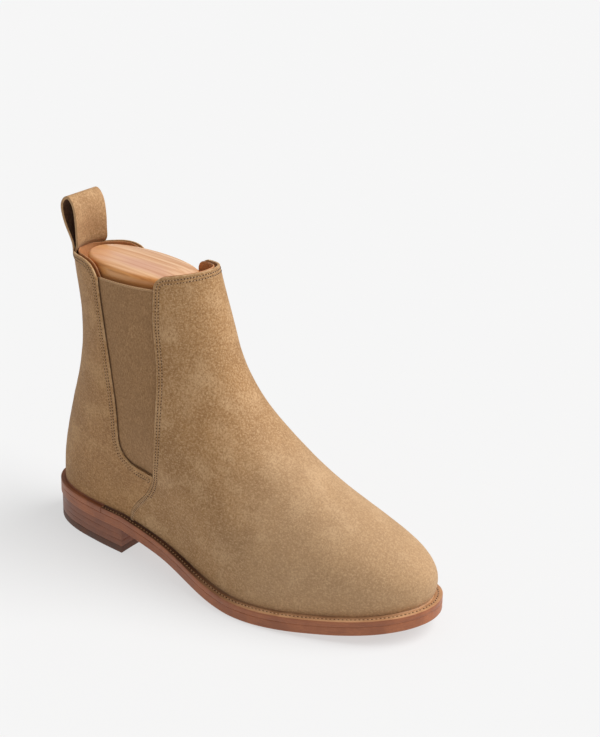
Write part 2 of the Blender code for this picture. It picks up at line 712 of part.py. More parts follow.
hinge = bpy.data.objects.new("pull_loop_hinge", None)
hinge.location = to_world((HINGE[0], 0, HINGE[1]))
boot.objects.link(hinge)
pull_loop = place("pull_loop", loop_mesh(), "suede")
pull_loop.parent = hinge
pull_loop.location = -hinge.location
middle_column = QUARTER_COLUMNS - 1
tab_area = back_shape[:3, middle_column - STRAP_TAB:middle_column + STRAP_TAB + 1].copy()
edge_height = upper(tab_area[0, :, 0], tab_area[0, :, 1])[:, 2]
tab_area[0, :, 1] = at_height(tab_area[0, :, 0], edge_height - TAB_DROP)
sheet("pull_loop_tab", tab_area, between, BETWEEN, "suede")

# ---- boot tree ------------------------------------------------------------------------
BLOCK_EDGE = 6.0        # rounding round the top


def block_outline():
    turn = np.linspace(0, 2 * math.pi, 40, endpoint=False)
    squareness = 2 / 2.3
    x = (TREE_BACK + TREE_FRONT) / 2 - (TREE_FRONT - TREE_BACK) / 2 * np.cos(turn)
    y = TREE_MIDDLE + TREE_HALF_WIDTH * np.sign(np.sin(turn)) * np.abs(np.sin(turn))**squareness
    return np.stack([x, y], -1)


block = prism("boot_tree_block", block_outline(), TREE_BOTTOM, TREE_TOP, "cedar")
rounding = block.modifiers.new("Edge", "BEVEL")
rounding.width = BLOCK_EDGE * MM
rounding.segments = 3
rounding.angle_limit = math.radians(60)
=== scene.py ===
import math

import bmesh
import bpy
import numpy as np
from mathutils import Matrix, Vector
from mathutils.kdtree import KDTree


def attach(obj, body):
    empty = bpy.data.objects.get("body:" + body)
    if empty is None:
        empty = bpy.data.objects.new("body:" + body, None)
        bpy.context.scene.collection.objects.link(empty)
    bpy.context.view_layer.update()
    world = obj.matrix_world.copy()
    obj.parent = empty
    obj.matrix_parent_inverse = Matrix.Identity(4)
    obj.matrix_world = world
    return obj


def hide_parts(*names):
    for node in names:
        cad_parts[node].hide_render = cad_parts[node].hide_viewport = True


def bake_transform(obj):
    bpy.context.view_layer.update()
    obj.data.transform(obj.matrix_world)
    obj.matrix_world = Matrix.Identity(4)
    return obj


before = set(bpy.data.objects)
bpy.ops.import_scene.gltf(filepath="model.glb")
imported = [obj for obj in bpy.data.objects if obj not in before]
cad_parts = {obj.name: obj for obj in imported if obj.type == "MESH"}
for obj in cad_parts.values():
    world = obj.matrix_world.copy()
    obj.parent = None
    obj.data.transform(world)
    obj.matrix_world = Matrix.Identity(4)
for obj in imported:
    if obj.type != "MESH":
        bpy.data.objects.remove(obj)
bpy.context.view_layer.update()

mm = 0.001

# the boot's shape, in millimetres: x from the back of the heel, y to the inner side

sole = {
    "outline": [(0, -1.5), (8, -17), (29.6, -28.8), (79.4, -35.6), (123, -39.6),
                (160, -49.5), (202.5, -53.1), (243.8, -42.5), (282, -23), (300, 6),
                (288.5, 33), (255.6, 44), (216.4, 47.4), (170, 37), (125, 25), (72, 28.6),
                (29.8, 28.9), (8, 15)],
    "length": 300.0, "heelHeight": 17.9, "breast": 79.5, "ball": 186.0, "toeSpring": 11.7,
    "outsole": 6.2, "welt": 3.8, "topPiece": 4.8, "gap": 0.3, "weltBack": 60.0}

upperShape = {
    "suede": 1.6, "between": 1.3, "lining": 0.9, "layerGap": 0.45, "edgeGap": 0.9,
    # share of the way up, back (x, z), front (x, z), half width, middle, roundness
    "rings": [(0.1, (3.2, 38), (295.5, 37.5), 39.5, 0.5, 0.06),
              (0.2, (4.3, 50), (282.5, 52), 38, -0.5, 0.22),
              (0.3, (7.0, 64), (255, 65), 37.5, -1.5, 0.42),
              (0.4, (11.2, 80), (225.5, 78), 37, -2.0, 0.64),
              (0.5, (16.0, 98), (197, 94.5), 36, -2.0, 0.82),
              (0.6, (21.4, 119), (169.5, 116), 34, -2.2, 0.94),
              (0.7, (23.6, 142), (151, 142), 31.5, -2.4, 1.0),
              (0.8, (21.9, 166), (141.5, 167), 29.8, -2.5, 1.0),
              (0.9, (17.4, 190), (133.5, 191), 28.4, -2.5, 1.0),
              (1.0, (14.5, 214), (126.5, 215), 27.6, -2.5, 1.0)],
    "frontCorner": [(112.5, 202.0), (106.2, 200.3), (103.0, 196.6), (102.5, 191.0)],
    "goreFront": [(102.5, 191.0), (103.9, 170.7), (107.6, 148.3), (110.2, 128.7),
                  (111.8, 106.0), (112.2, 86.0), (109.8, 67.4)],
    "goreBack": [(56.3, 189.7), (61.5, 163.3), (69.7, 131.4), (75.6, 105.7), (77.2, 88.0),
                 (78.6, 79.0), (84.2, 72.3), (95.0, 67.8), (109.2, 67.2)],
    "lowerSeam": [(109.8, 67.4), (107.3, 61.5), (100.5, 50.7), (93.0, 42.5), (87.7, 35.5),
                  (85.2, 28.0)],
    "backTop": [(16.3, 197.0), (22.0, 197.2), (42.0, 199.0), (50.5, 196.5), (56.3, 189.7)],
    "frontTop": (202.0, 205.6)}


def spline(knots, values):                       # natural cubic through rows of values
    t, y = np.asarray(knots, float), np.asarray(values, float)
    h, count = np.diff(t), len(t)
    matrix, right = np.eye(count), np.zeros_like(y)
    for i in range(1, count - 1):
        matrix[i, i - 1:i + 2] = h[i - 1], 2 * (h[i - 1] + h[i]), h[i]
        right[i] = 6 * ((y[i + 1] - y[i]) / h[i] - (y[i] - y[i - 1]) / h[i - 1])
    bend = np.linalg.solve(matrix, right)

    def value(x):
        x = np.asarray(x, float)
        flat = x.ravel()
        k = np.clip(np.searchsorted(t, flat, side="right") - 1, 0, count - 2)
        a, b, w = (t[k + 1] - flat)[:, None], (flat - t[k])[:, None], h[k][:, None]
        result = ((bend[k] * a**3 + bend[k + 1] * b**3) / (6 * w)
                  + (y[k] / w - bend[k] * w / 6) * a + (y[k + 1] / w - bend[k + 1] * w / 6) * b)
        return result.reshape(x.shape + (y.shape[1],))
    return value


def evenly(line, count):                         # respace points along a line
    length = np.r_[0, np.cumsum(np.linalg.norm(np.diff(line, axis=0), axis=1))]
    places = np.linspace(0, length[-1], count)
    return np.stack([np.interp(places, length, line[:, i]) for i in range(line.shape[1])], -1)


def curveThrough(points, count):
    points = np.asarray(points, float)
    along = np.r_[0, np.cumsum(np.linalg.norm(np.diff(points, axis=0), axis=1))]
    return evenly(spline(along, points)(np.linspace(0, along[-1], 60 * len(points))), count)


def closedThrough(points, count):
    points = np.asarray(points, float)
    size = len(points)
    wrapped = np.vstack([points[-3:], points, points[:4]])
    along = np.r_[0, np.cumsum(np.linalg.norm(np.diff(wrapped, axis=0), axis=1) ** 0.5)]
    fine = spline(along, wrapped)(np.linspace(along[3], along[3 + size], 1200))
    return evenly(fine, count + 1)[:-1]


def smoothStep(x, low, high):
    t = np.clip((np.asarray(x, float) - low) / (high - low), 0, 1)
    return t * t * (3 - 2 * t)


def tread(x):                                    # the outsole's underside
    x = np.asarray(x, float)
    u = np.clip((x - sole["breast"]) / (sole["ball"] - sole["breast"]), 0, 1)
    v = np.clip((x - sole["ball"]) / (sole["length"] - sole["ball"]), 0, 1)
    return sole["heelHeight"] * (1 - u)**1.6 * (1 + 0.6 * u) + sole["toeSpring"] * v**1.8


def weltWidth(x):
    return 2.9 + 2.1 * smoothStep(x, 60, 180)


def inset(outline, distance):
    tangent = np.roll(outline, -1, 0) - np.roll(outline, 1, 0)
    tangent /= np.linalg.norm(tangent, axis=1)[:, None]
    inward = np.stack([-tangent[:, 1], tangent[:, 0]], -1)
    return outline + inward * (np.asarray(distance) * np.ones(len(outline)))[:, None]


outline = closedThrough(sole["outline"], 1440)
origin = np.r_[(outline.max(0) + outline.min(0)) / 2, 0]
feather = inset(outline, weltWidth(outline[:, 0]))


def twoSides(line):                              # y of both sides against the angle
    back, front = line[:, 0].argmin(), line[:, 0].argmax()
    low, high = line[back, 0], line[front, 0]
    order = np.roll(line, -back, 0)
    split = (front - back) % len(line)
    sides = []
    for side in (order[:split + 1], np.vstack([order[split:], order[:1]])[::-1]):
        angle = np.arccos(np.clip(1 - 2 * (side[:, 0] - low) / (high - low), -1, 1))
        sides.append((angle, side[:, 1]))
    return low, high, sides


featherBack, featherFront, featherSides = twoSides(feather)
weltTop = sole["outsole"] + sole["gap"] + sole["welt"]
bed = weltTop + upperShape["edgeGap"]


def ringTable():
    ends = (0.0, (featherBack, float(tread(featherBack)) + bed),
            (featherFront, float(tread(featherFront)) + bed), 41.0, 1.5, 0.0)
    rows = [ends] + upperShape["rings"]
    return spline([row[0] for row in rows], [[*row[1], *row[2], *row[3:]] for row in rows])


ringValues = ringTable()


def upper(angle, v):
    angle, v = np.broadcast_arrays(np.asarray(angle, float), np.asarray(v, float))
    backX, backZ, frontX, frontZ, width, middle, share = np.moveaxis(ringValues(v), -1, 0)
    s = (1 - np.cos(angle)) / 2
    footX = featherBack + (featherFront - featherBack) * s
    chord = tread(featherBack) + (tread(featherFront) - tread(featherBack)) * s
    z = backZ + (frontZ - backZ) * s + (tread(footX) - chord) * (1 - v)**3
    outer = np.sin(angle) >= 0
    around = np.arccos(np.clip(np.cos(angle), -1, 1))
    foot = np.where(outer, np.interp(around, *featherSides[0]),
                    np.interp(around, *featherSides[1]))
    full = width * np.abs(np.sin(around)) ** (2 / 2.25)
    shaft = middle * np.sin(around)**2 + np.where(outer, -full, full)
    return np.stack([backX + (frontX - backX) * s, foot * (1 - share) + shaft * share, z], -1)


def faceNormal(angle, v):                        # outwards
    small = 2e-3
    v = np.clip(v, 0, 1)
    du = upper(angle + small, v) - upper(angle - small, v)
    dv = upper(angle, v + small) - upper(angle, v - small)
    normal = np.cross(du, dv)
    return normal / (np.linalg.norm(normal, axis=-1)[..., None] + 1e-12)


def locate(points, side=1):                      # angle and v of (x, z) seen from the side
    points = np.asarray(points, float)
    angle = np.full(len(points), math.pi / 2)
    v = np.clip((points[:, 1] - 28) / 186, 0.02, 0.98)
    for _ in range(60):
        here = upper(angle, v)[:, [0, 2]]
        across = (upper(angle + 1e-4, v)[:, [0, 2]] - here) / 1e-4
        along = (upper(angle, v + 1e-4)[:, [0, 2]] - here) / 1e-4
        miss = points - here
        area = across[:, 0] * along[:, 1] - across[:, 1] * along[:, 0]
        turn = (miss[:, 0] * along[:, 1] - miss[:, 1] * along[:, 0]) / area
        rise = (across[:, 0] * miss[:, 1] - across[:, 1] * miss[:, 0]) / area
        angle = np.clip(angle + np.clip(turn, -0.3, 0.3), 0.001, math.pi - 0.001)
        v = np.clip(v + np.clip(rise, -0.1, 0.1), 0, 0.999)
    return np.stack([angle if side > 0 else 2 * math.pi - angle, v], -1)


def atHeight(angle, height):
    angle, height = np.broadcast_arrays(np.asarray(angle, float), np.asarray(height, float))
    low, high = np.zeros(angle.shape), np.ones(angle.shape)
    for _ in range(40):
        middle = (low + high) / 2
        below = upper(angle, middle)[..., 2] < height
        low, high = np.where(below, middle, low), np.where(below, high, middle)
    return (low + high) / 2


def patch(left, right, top, bottom):             # four-sided area of angle and v
    r = np.linspace(0, 1, len(left))[:, None, None]
    c = np.linspace(0, 1, len(top))[None, :, None]
    sides = (1 - c) * left[:, None] + c * right[:, None]
    ends = (1 - r) * top[None] + r * bottom[None]
    corners = ((1 - r) * ((1 - c) * top[0] + c * top[-1])
               + r * ((1 - c) * bottom[0] + c * bottom[-1]))
    return sides + ends - corners


def otherSide(area):
    turned = area[:, ::-1].copy()
    turned[..., 0] = 2 * math.pi - turned[..., 0]
    return turned


def mirrorLine(line):
    return np.stack([2 * math.pi - line[:, 0], line[:, 1]], -1)


def joined(*lines):
    return np.vstack([lines[0]] + [line[1:] for line in lines[1:]])


# pieces are measured in millimetres and placed in metres

def toWorld(points):
    return (np.asarray(points, float) - origin) * mm


def ringFaces(count, around):                    # quads between closed rings
    return [(i * around + j, i * around + (j + 1) % around,
             (i + 1) * around + (j + 1) % around, (i + 1) * around + j)
            for i in range(count - 1) for j in range(around)]


def tipFaces(count, around):                     # fans to a last but one and a last point
    total = count * around
    return [(k * around + i, k * around + (i + 1) % around, tip)
            for k, tip in ((0, total), (count - 1, total + 1)) for i in range(around)]


def place(name, points, faces):
    mesh = bpy.data.meshes.new(name)
    mesh.from_pydata([tuple(p) for p in toWorld(points)], [], faces)
    mesh.update()
    piece = bpy.data.objects.new(name, mesh)
    bpy.context.scene.collection.objects.link(piece)
    return piece


def turnOut(piece, sharp=40):                    # faces out, crisp corners
    work = bmesh.new()
    work.from_mesh(piece.data)
    bmesh.ops.recalc_face_normals(work, faces=work.faces)
    work.to_mesh(piece.data)
    work.free()
    piece.data.shade_smooth()
    piece.data.set_sharp_from_angle(angle=math.radians(sharp))
    return piece


def numbersOn(piece, name, values):              # one number for each point
    layer = piece.data.attributes.new(name, "FLOAT", "POINT")
    layer.data.foreach_set("value", np.asarray(values, np.float32).ravel())


def lengthsAlong(points, axis):
    steps = np.linalg.norm(np.diff(points, axis=axis), axis=-1)
    start = np.zeros_like(np.take(steps, [0], axis=axis))
    return np.concatenate([start, np.cumsum(steps, axis=axis)], axis=axis)


edgeLines = [0, 0.25, 0.6, 1.1, 1.6, 2.0, 2.4, 2.9, 3.5, 4.0, 4.4, 4.8, 5.4, 6.4, 8.0, 10.0]


def spread(length, count, first, last):          # places along a line, closer at cut edges
    lines = np.array(edgeLines)
    start = lines if first else lines[:1]
    end = length - (lines if last else lines[:1])[::-1]
    return np.r_[start, np.linspace(start[-1], end[0], count + 2)[1:-1], end]


def respaced(area, placesFor):                   # rows first, then columns
    for axis in (0, 1):
        moved = area if axis == 1 else area.swapaxes(0, 1)
        lengths = lengthsAlong(upper(moved[..., 0], moved[..., 1]), 1)
        moved = np.array([
            np.stack([np.interp(placesFor(axis, length[-1]), length, line[:, k])
                      for k in (0, 1)], -1) for line, length in zip(moved, lengths)])
        area = moved if axis == 1 else moved.swapaxes(0, 1)
    return area


def refine(area, rows, columns):
    return respaced(area, lambda axis, length: spread(
        length, (rows, columns)[axis], True, axis == 1))


def distancesTo(points, rim):                    # from every point to a rim line
    tree = KDTree(len(rim))
    for number, spot in enumerate(rim):
        tree.insert(spot, number)
    tree.balance()
    found = [tree.find(point)[2] for point in points.reshape(-1, 3)]
    return np.reshape(found, points.shape[:-1])


def cutRims(points, edges):                      # the cut edges among top, left and right
    lines = (points[0], points[:, 0], points[:, -1])
    return [evenly(line, 800) for line, wanted in zip(lines, edges) if wanted]


def edgeDistances(points, edges):
    rims = cutRims(points, edges)
    return distancesTo(points, np.vstack(rims)) if rims else np.full(points.shape[:2], 99.0)


def rolling(points, seed, size, waves=7):        # slow, smooth ups and downs from -1 to 1
    chance = np.random.default_rng(seed)
    total = np.zeros(points.shape[:-1])
    for _ in range(waves):
        way = chance.normal(size=3)
        way /= np.linalg.norm(way)
        length = size * chance.uniform(0.6, 1.6)
        total += np.sin(points @ way * 2 * math.pi / length + chance.uniform(0, 6.28))
    return total / waves * 1.6


def skin(name, area, depth, thickness, relief=None, edges=(True, True, True), roundness=0.5):
    rows, columns = area.shape[:2]
    outside = upper(area[..., 0], area[..., 1])
    normal = faceNormal(area[..., 0], area[..., 1])
    edge = edgeDistances(outside, edges)
    rounding = roundness * np.clip(1 - edge / 0.7, 0, 1)**2
    lift = relief(outside, edge, area) if relief else 0
    front = outside - normal * (depth + rounding - lift)[..., None]
    back = outside - normal * (depth + thickness - rounding * 0.5)[..., None]
    points = np.concatenate([front.reshape(-1, 3), back.reshape(-1, 3)])
    size = rows * columns
    faces = []
    for i in range(rows - 1):
        for j in range(columns - 1):
            a = i * columns + j
            faces.append((a, a + columns, a + columns + 1, a + 1))
            faces.append((a + size, a + size + 1, a + size + columns + 1, a + size + columns))
    rim = ([(0, j) for j in range(columns)] + [(i, columns - 1) for i in range(1, rows)]
           + [(rows - 1, j) for j in range(columns - 2, -1, -1)]
           + [(i, 0) for i in range(rows - 2, 0, -1)])
    for (i, j), (k, m) in zip(rim, rim[1:] + rim[:1]):
        a, b = i * columns + j, k * columns + m
        faces.append((a, b, b + size, a + size))
    piece = place(name, points, faces)
    turnOut(piece, 60)
    numbersOn(piece, "edgeDistance", np.concatenate([edge.ravel(), edge.ravel()]))
    return piece



def vampArea():
    edge = joined(locate(curveThrough(upperShape["frontCorner"], 12)),
                  locate(curveThrough(upperShape["goreFront"], 40)),
                  locate(curveThrough(upperShape["lowerSeam"], 24)))
    edge[-1, 1] = 0
    low, high = upperShape["frontTop"]
    topAngle = np.linspace(edge[0, 0], 2 * math.pi - edge[0, 0], 121)
    share = 1 - ((topAngle - math.pi) / (math.pi - edge[0, 0]))**2
    top = np.stack([topAngle, atHeight(topAngle, low + (high - low) * share)], -1)
    top[0], top[-1] = edge[0], mirrorLine(edge[:1])[0]
    bottomAngle = np.linspace(edge[-1, 0], 2 * math.pi - edge[-1, 0], 121)
    return patch(edge, mirrorLine(edge), top, np.stack([bottomAngle, np.zeros(121)], -1))


def quarterArea(seamAngle, tuck):
    seam = np.asarray(upperShape["lowerSeam"]) + [tuck, 0]
    gore = np.array(upperShape["goreBack"])
    gore[-1] = seam[0]
    edge = joined(locate(curveThrough(gore, 50)), locate(curveThrough(seam, 24)))
    edge[-1, 1] = 0
    line = locate(curveThrough(upperShape["backTop"], 60))
    topAngle = np.linspace(seamAngle, edge[0, 0], 61)
    top = np.stack([topAngle, np.interp(topAngle, line[:, 0], line[:, 1])], -1)
    top[-1] = edge[0]
    bottomAngle = np.linspace(seamAngle, edge[-1, 0], 61)
    bottom = np.stack([bottomAngle, np.zeros(61)], -1)
    back = np.stack([np.full(len(edge), seamAngle), np.linspace(top[0, 1], 0, len(edge))], -1)
    return patch(back, edge, top, bottom)


def acrossBack(area):
    medial = otherSide(area)
    medial[..., 0] -= 2 * math.pi
    whole = np.concatenate([medial[:, :-1], area], axis=1)
    whole[:, area.shape[1] - 1, 0] = 0
    return whole


def goreArea(lap):
    back = [(x - lap, z) for x, z in upperShape["goreBack"][:5]]
    front = [(x + lap, z) for x, z in upperShape["goreFront"]]
    front[-1] = (114.0, 60.5)
    low = locate(curveThrough([back[-1], (74.5, 73.0), (84.0, 65.0), (98.0, 61.5), front[-1]],
                              80))
    left, right = locate(curveThrough(back, 60)), locate(curveThrough(front, 60))
    top = left[0] + (right[0] - left[0]) * np.linspace(0, 1, 80)[:, None]
    return patch(left, right, top, low)


suedeDepth = {"seamGroove": 0.28, "seamWidth": 0.35, "rows": (2.2, 4.3), "buckle": 0.5}


def suedeRelief(seed, buckle, sewnFrom=0, rows=suedeDepth["rows"]):
    def relief(points, edge, area):
        slow = rolling(points, seed, 70) * buckle
        small = rolling(points, seed + 1, 16) * 0.10
        pucker = rolling(points, seed + 2, 7) * 0.10 * np.exp(-((edge - 3) / 4)**2)
        furrow = sum(np.exp(-((edge - row) / suedeDepth["seamWidth"])**2) for row in rows)
        raised = 0.12 * np.exp(-((edge - 3.2) / 0.7)**2)
        sewn = smoothStep(points[..., 2], sewnFrom - 2, sewnFrom + 1)
        crease = np.clip(1 - area[..., 1] / 0.02, 0, 1) * 0.5
        fade = smoothStep(edge, 0, 6)
        return ((slow + small) * fade + pucker - crease
                + sewn * (raised - furrow * suedeDepth["seamGroove"]))
    return relief


print("upper")
vampGrid = refine(vampArea(), 120, 150)
quarterGrid = refine(quarterArea(0.004, -0.35), 100, 56)
wholeBack = acrossBack(quarterArea(0.004, -0.9))

vampRelief, outerRelief, innerRelief = (
    suedeRelief(seed, suedeDepth["buckle"], sewnFrom)
    for seed, sewnFrom in ((11, 50), (23, 62.6), (29, 62.6)))
vamp = skin("suedeVamp", vampGrid, -0.15, 1.75, vampRelief)
quarterOuter = skin("suedeQuarterOuter", quarterGrid, 0.1, 1.45, outerRelief,
                    (True, False, True))
quarterInner = skin("suedeQuarterInner", otherSide(quarterGrid), 0.1, 1.45, innerRelief,
                    (True, True, False))
liningDepth = (upperShape["suede"] + upperShape["between"] + 2 * upperShape["layerGap"])
deeper = vampArea()
deeper[..., 1] = np.maximum(deeper[..., 1], 0.02)
vampLining = skin("liningFront", refine(deeper, 60, 90), liningDepth - 0.3, 1.0,
                  suedeRelief(31, 0.15))
deeper = wholeBack.copy()
deeper[..., 1] = np.maximum(deeper[..., 1], 0.02)
quarterLining = skin("liningBack", refine(deeper, 60, 90), liningDepth - 0.3, 1.0,
                     suedeRelief(37, 0.15))

elastic = {"pitch": 0.95, "ribHeight": 0.06, "columns": 400, "rows": 60, "seamShade": 1.5}


def elasticRelief(points, edge, area):           # ribs run up and down the panel
    across = lengthsAlong(points, 1)
    ribs = np.cos(across / elastic["pitch"] * 2 * math.pi)
    return ribs * elastic["ribHeight"] / 2 + rolling(points, 5, 40) * 0.25


goreGrid = respaced(goreArea(5.0), lambda axis, length: np.linspace(
    0, length, (elastic["rows"], elastic["columns"])[axis]))
goreDepth = upperShape["suede"] + upperShape["layerGap"] - 0.2
noEdges = (False, False, False)
goreLateral = skin("elasticOuter", goreGrid, goreDepth, 1.2, elasticRelief, noEdges)
goreMedial = skin("elasticInner", otherSide(goreGrid), goreDepth, 1.2, elasticRelief, noEdges)

binding = {"low": [(57.9, 189.2), (101.6, 190.4)], "high": [(57.5, 190.8), (101.7, 192.0)],
           "columns": 60, "thickness": 1.5, "depth": 1.75}


def foldedTape(name, side):                      # tape folded over the elastic's top edge
    low, high = (locate(binding[key], side) for key in ("low", "high"))
    share = np.linspace(0, 1, binding["columns"])[:, None]
    lowLine, highLine = (line[0] + (line[1] - line[0]) * share for line in (low, high))
    rings = []
    for turn in np.linspace(0, 2 * math.pi, 14, endpoint=False):
        rise = 0.5 + 0.5 * math.sin(turn)
        area = lowLine + (highLine - lowLine) * rise
        depth = binding["depth"] + binding["thickness"] / 2 * (1 - math.cos(turn))
        point = upper(area[:, 0], area[:, 1])
        rings.append(point - faceNormal(area[:, 0], area[:, 1]) * depth)
    return tube(name, np.array(rings).swapaxes(0, 1))


def tube(name, rings):                           # rings of points, closed at both ends
    count, around = rings.shape[:2]
    faces = ringFaces(count, around)
    faces += [tuple(range(around)), tuple((count - 1) * around + j for j in range(around))]
    return turnOut(place(name, rings.reshape(-1, 3), faces), 50)


bindingOuter = foldedTape("bindingOuter", 1)
bindingInner = foldedTape("bindingInner", -1)

# the sole: outlines swept with a side profile, and flat faces between the two sides
print("sole")
soleMesh = {"stations": 170, "edgeRound": (0.9, 0.3), "ripple": 0.12}


def soleLoop(line):                              # same stations down both sides
    back, front, (lateral, medial) = twoSides(line)
    turn = np.linspace(0, math.pi, soleMesh["stations"])
    x = back + (front - back) * (1 - np.cos(turn)) / 2
    left, right = np.interp(turn, *lateral), np.interp(turn, *medial)
    return np.vstack([np.stack([x, left], -1), np.stack([x, right], -1)[-2:0:-1]])


def layered(name, line, profile, seed=3):
    # profile: (moved in, height above the tread) from the bottom's edge to the top's
    loop = soleLoop(line)
    uneven = rolling(np.c_[loop, loop[:, 0] * 0], seed, 26) * soleMesh["ripple"]
    rings, heights = [], []
    for distance, height in profile:
        ring = inset(loop, distance + uneven)
        rings.append(np.c_[ring, tread(ring[:, 0]) + height])
        heights.append(np.full(len(ring), height))
    size, half = len(loop), soleMesh["stations"]
    faces = ringFaces(len(rings), size)
    for k in (0, len(rings) - 1):
        for i in range(half - 1):
            corners = (i, i + 1, (size - i - 1) % size, (size - i) % size)
            faces.append(tuple(dict.fromkeys(k * size + c for c in corners)))
    piece = turnOut(place(name, np.vstack(rings), faces), 35)
    numbersOn(piece, "layer", np.concatenate(heights))
    return piece


def roundedSide(low, high, radii, lines=()):     # an edge's profile from bottom to top
    turns = np.linspace(0, math.pi / 2, 5)
    below, above = radii
    profile = [(below * (1 - math.sin(t)), low + below * (1 - math.cos(t))) for t in turns]
    for height, depth in lines:
        profile += [(0.0, height - 0.28), (depth, height), (0.0, height + 0.28)]
    return profile + [(above * (1 - math.cos(t)), high - above * (1 - math.sin(t)))
                      for t in turns]


outsoleLines = [(2.1, 0.06), (4.1, 0.05)]
outsole = layered("outsoleLeather", outline,
                  roundedSide(0.02, sole["outsole"] + 0.08, soleMesh["edgeRound"],
                              outsoleLines))

weltBottom = sole["outsole"] + sole["gap"] * 0.3
underUpper = 4.7


def edgeStrip(name, first, last, profile, count, seed):
    chosen = np.linspace(first, last, count).round().astype(int) % len(outline)
    rings, heights, across = [], [], []
    uneven = rolling(np.c_[outline, outline[:, 0] * 0], seed, 24) * soleMesh["ripple"]
    for distance, height in profile:
        reach = distance(outline[:, 0]) if callable(distance) else distance
        ring = inset(outline, reach + uneven)[chosen]
        rings.append(np.c_[ring, tread(ring[:, 0]) + height])
        heights.append(np.full(count, height))
    piece = tube(name, np.array(rings).swapaxes(0, 1))
    numbersOn(piece, "layer", np.array(heights).T.ravel())
    return piece


welt = {"stitchShare": 0.56, "groove": 0.42, "round": 0.55, "topFrom": 5}


def weltProfile(groove):
    low, high, r = weltBottom, weltTop, welt["round"]
    side = [(0.2, low), (0.0, low + 0.2), (0.0, (low + high) / 2), (0.0, high - r),
            (r * 0.3, high - r * 0.3), (r, high)]
    if groove:
        side += [(beside(-0.45), high), (beside(-0.2), high - groove), (beside(0), high - groove),
                 (beside(0.2), high - groove), (beside(0.45), high)]
    side += [(lambda x: weltWidth(x) - 0.25, high - 0.05),
             (lambda x: weltWidth(x) + 0.35, high - 0.25),
             (lambda x: weltWidth(x) + 1.0, high + 0.7),
             (lambda x: weltWidth(x) + underUpper - 0.6, high + 0.7),
             (lambda x: weltWidth(x) + underUpper, low)]
    return side


def beside(shift):                               # a distance from the welt's stitching
    return lambda x: weltWidth(x) * welt["stitchShare"] + shift


ahead = np.roll(outline[:, 0] > sole["weltBack"], -int(outline[:, 0].argmax()))
toe = int(outline[:, 0].argmax())
weltFirst = toe - int(np.argmin(ahead[::-1])) + 1
weltLast = toe + int(np.argmin(ahead)) - 2
weltPiece = edgeStrip("weltStrip", weltFirst, weltLast, weltProfile(welt["groove"]), 620, 3)
randPiece = edgeStrip("heelRand", weltLast + 1, weltFirst + len(outline) - 1, weltProfile(0),
                      220, 3)

heel = {"inset": 0.8, "lifts": 3, "round": (0.16, 0.16), "heelRound": (0.5, 0.2)}
heelLine = inset(outline, heel["inset"])


def heelLoop():                                  # the heel's outline with a straight front
    line = heelLine[heelLine[:, 0] <= sole["breast"]]
    start = int(np.argmax(np.linalg.norm(np.diff(np.vstack([line, line[:1]]), axis=0),
                                         axis=1))) + 1
    line = evenly(np.roll(line, -start, 0), 150)
    line[0, 0] = line[-1, 0] = sole["breast"]
    front = np.linspace(line[-1], line[0], 42)[1:-1]
    bow = np.sin(np.linspace(0, math.pi, 42))[1:-1] * 0.9
    front[:, 0] -= bow
    return np.vstack([line, front])


heelRing = heelLoop()


def heelLayer(name, low, high, seed, radii):
    size = len(heelRing)
    centre = heelRing.mean(0)
    uneven = rolling(np.c_[heelRing, heelRing[:, 0] * 0], seed, 22) * 0.1
    rings, heights = [], []
    for distance, height in roundedSide(low, high, radii):
        rings.append(np.c_[inset(heelRing, distance + uneven), np.full(size, height)])
        heights.append(np.full(size, height))
    points = np.vstack(rings + [[[*centre, low]], [[*centre, high]]])
    faces = ringFaces(len(rings), size) + tipFaces(len(rings), size)
    piece = turnOut(place(name, points, faces), 35)
    numbersOn(piece, "layer", np.r_[np.concatenate(heights), low, high])
    return piece


liftHeight = (sole["heelHeight"] - sole["topPiece"] - (heel["lifts"] + 1) * sole["gap"]) \
    / heel["lifts"]
topPiece = heelLayer("topPieceRubber", 0.0, sole["topPiece"] + 0.12, 41, heel["heelRound"])
lifts = []
for number in range(heel["lifts"]):
    bottom = sole["topPiece"] + sole["gap"] + number * (liftHeight + sole["gap"])
    lifts.append(heelLayer(f"heelLiftFine{number + 1}", bottom - 0.12, bottom + liftHeight + 0.12,
                           43 + number, heel["round"]))

# the pull loop: one strap, both legs sewn in behind the lining
print("loop")
strap = {"width": 29.0, "thickness": 2.0, "skived": 1.0, "hinge": 199.4, "peak": 233.6,
         "path": [(21.55, 193.0), (21.3, 195.6), (22.2, 197.8), (23.2, 199.8), (23.8, 206.0),
                  (24.5, 213.0), (24.9, 221.0), (23.1, 228.6), (18.4, 232.55), (14.4, 229.2),
                  (13.8, 222.5), (16.0, 213.0), (19.2, 205.0), (20.4, 199.8), (20.25, 197.4),
                  (20.2, 195.6), (20.5, 193.0)],
         "along": 150, "across": 34}


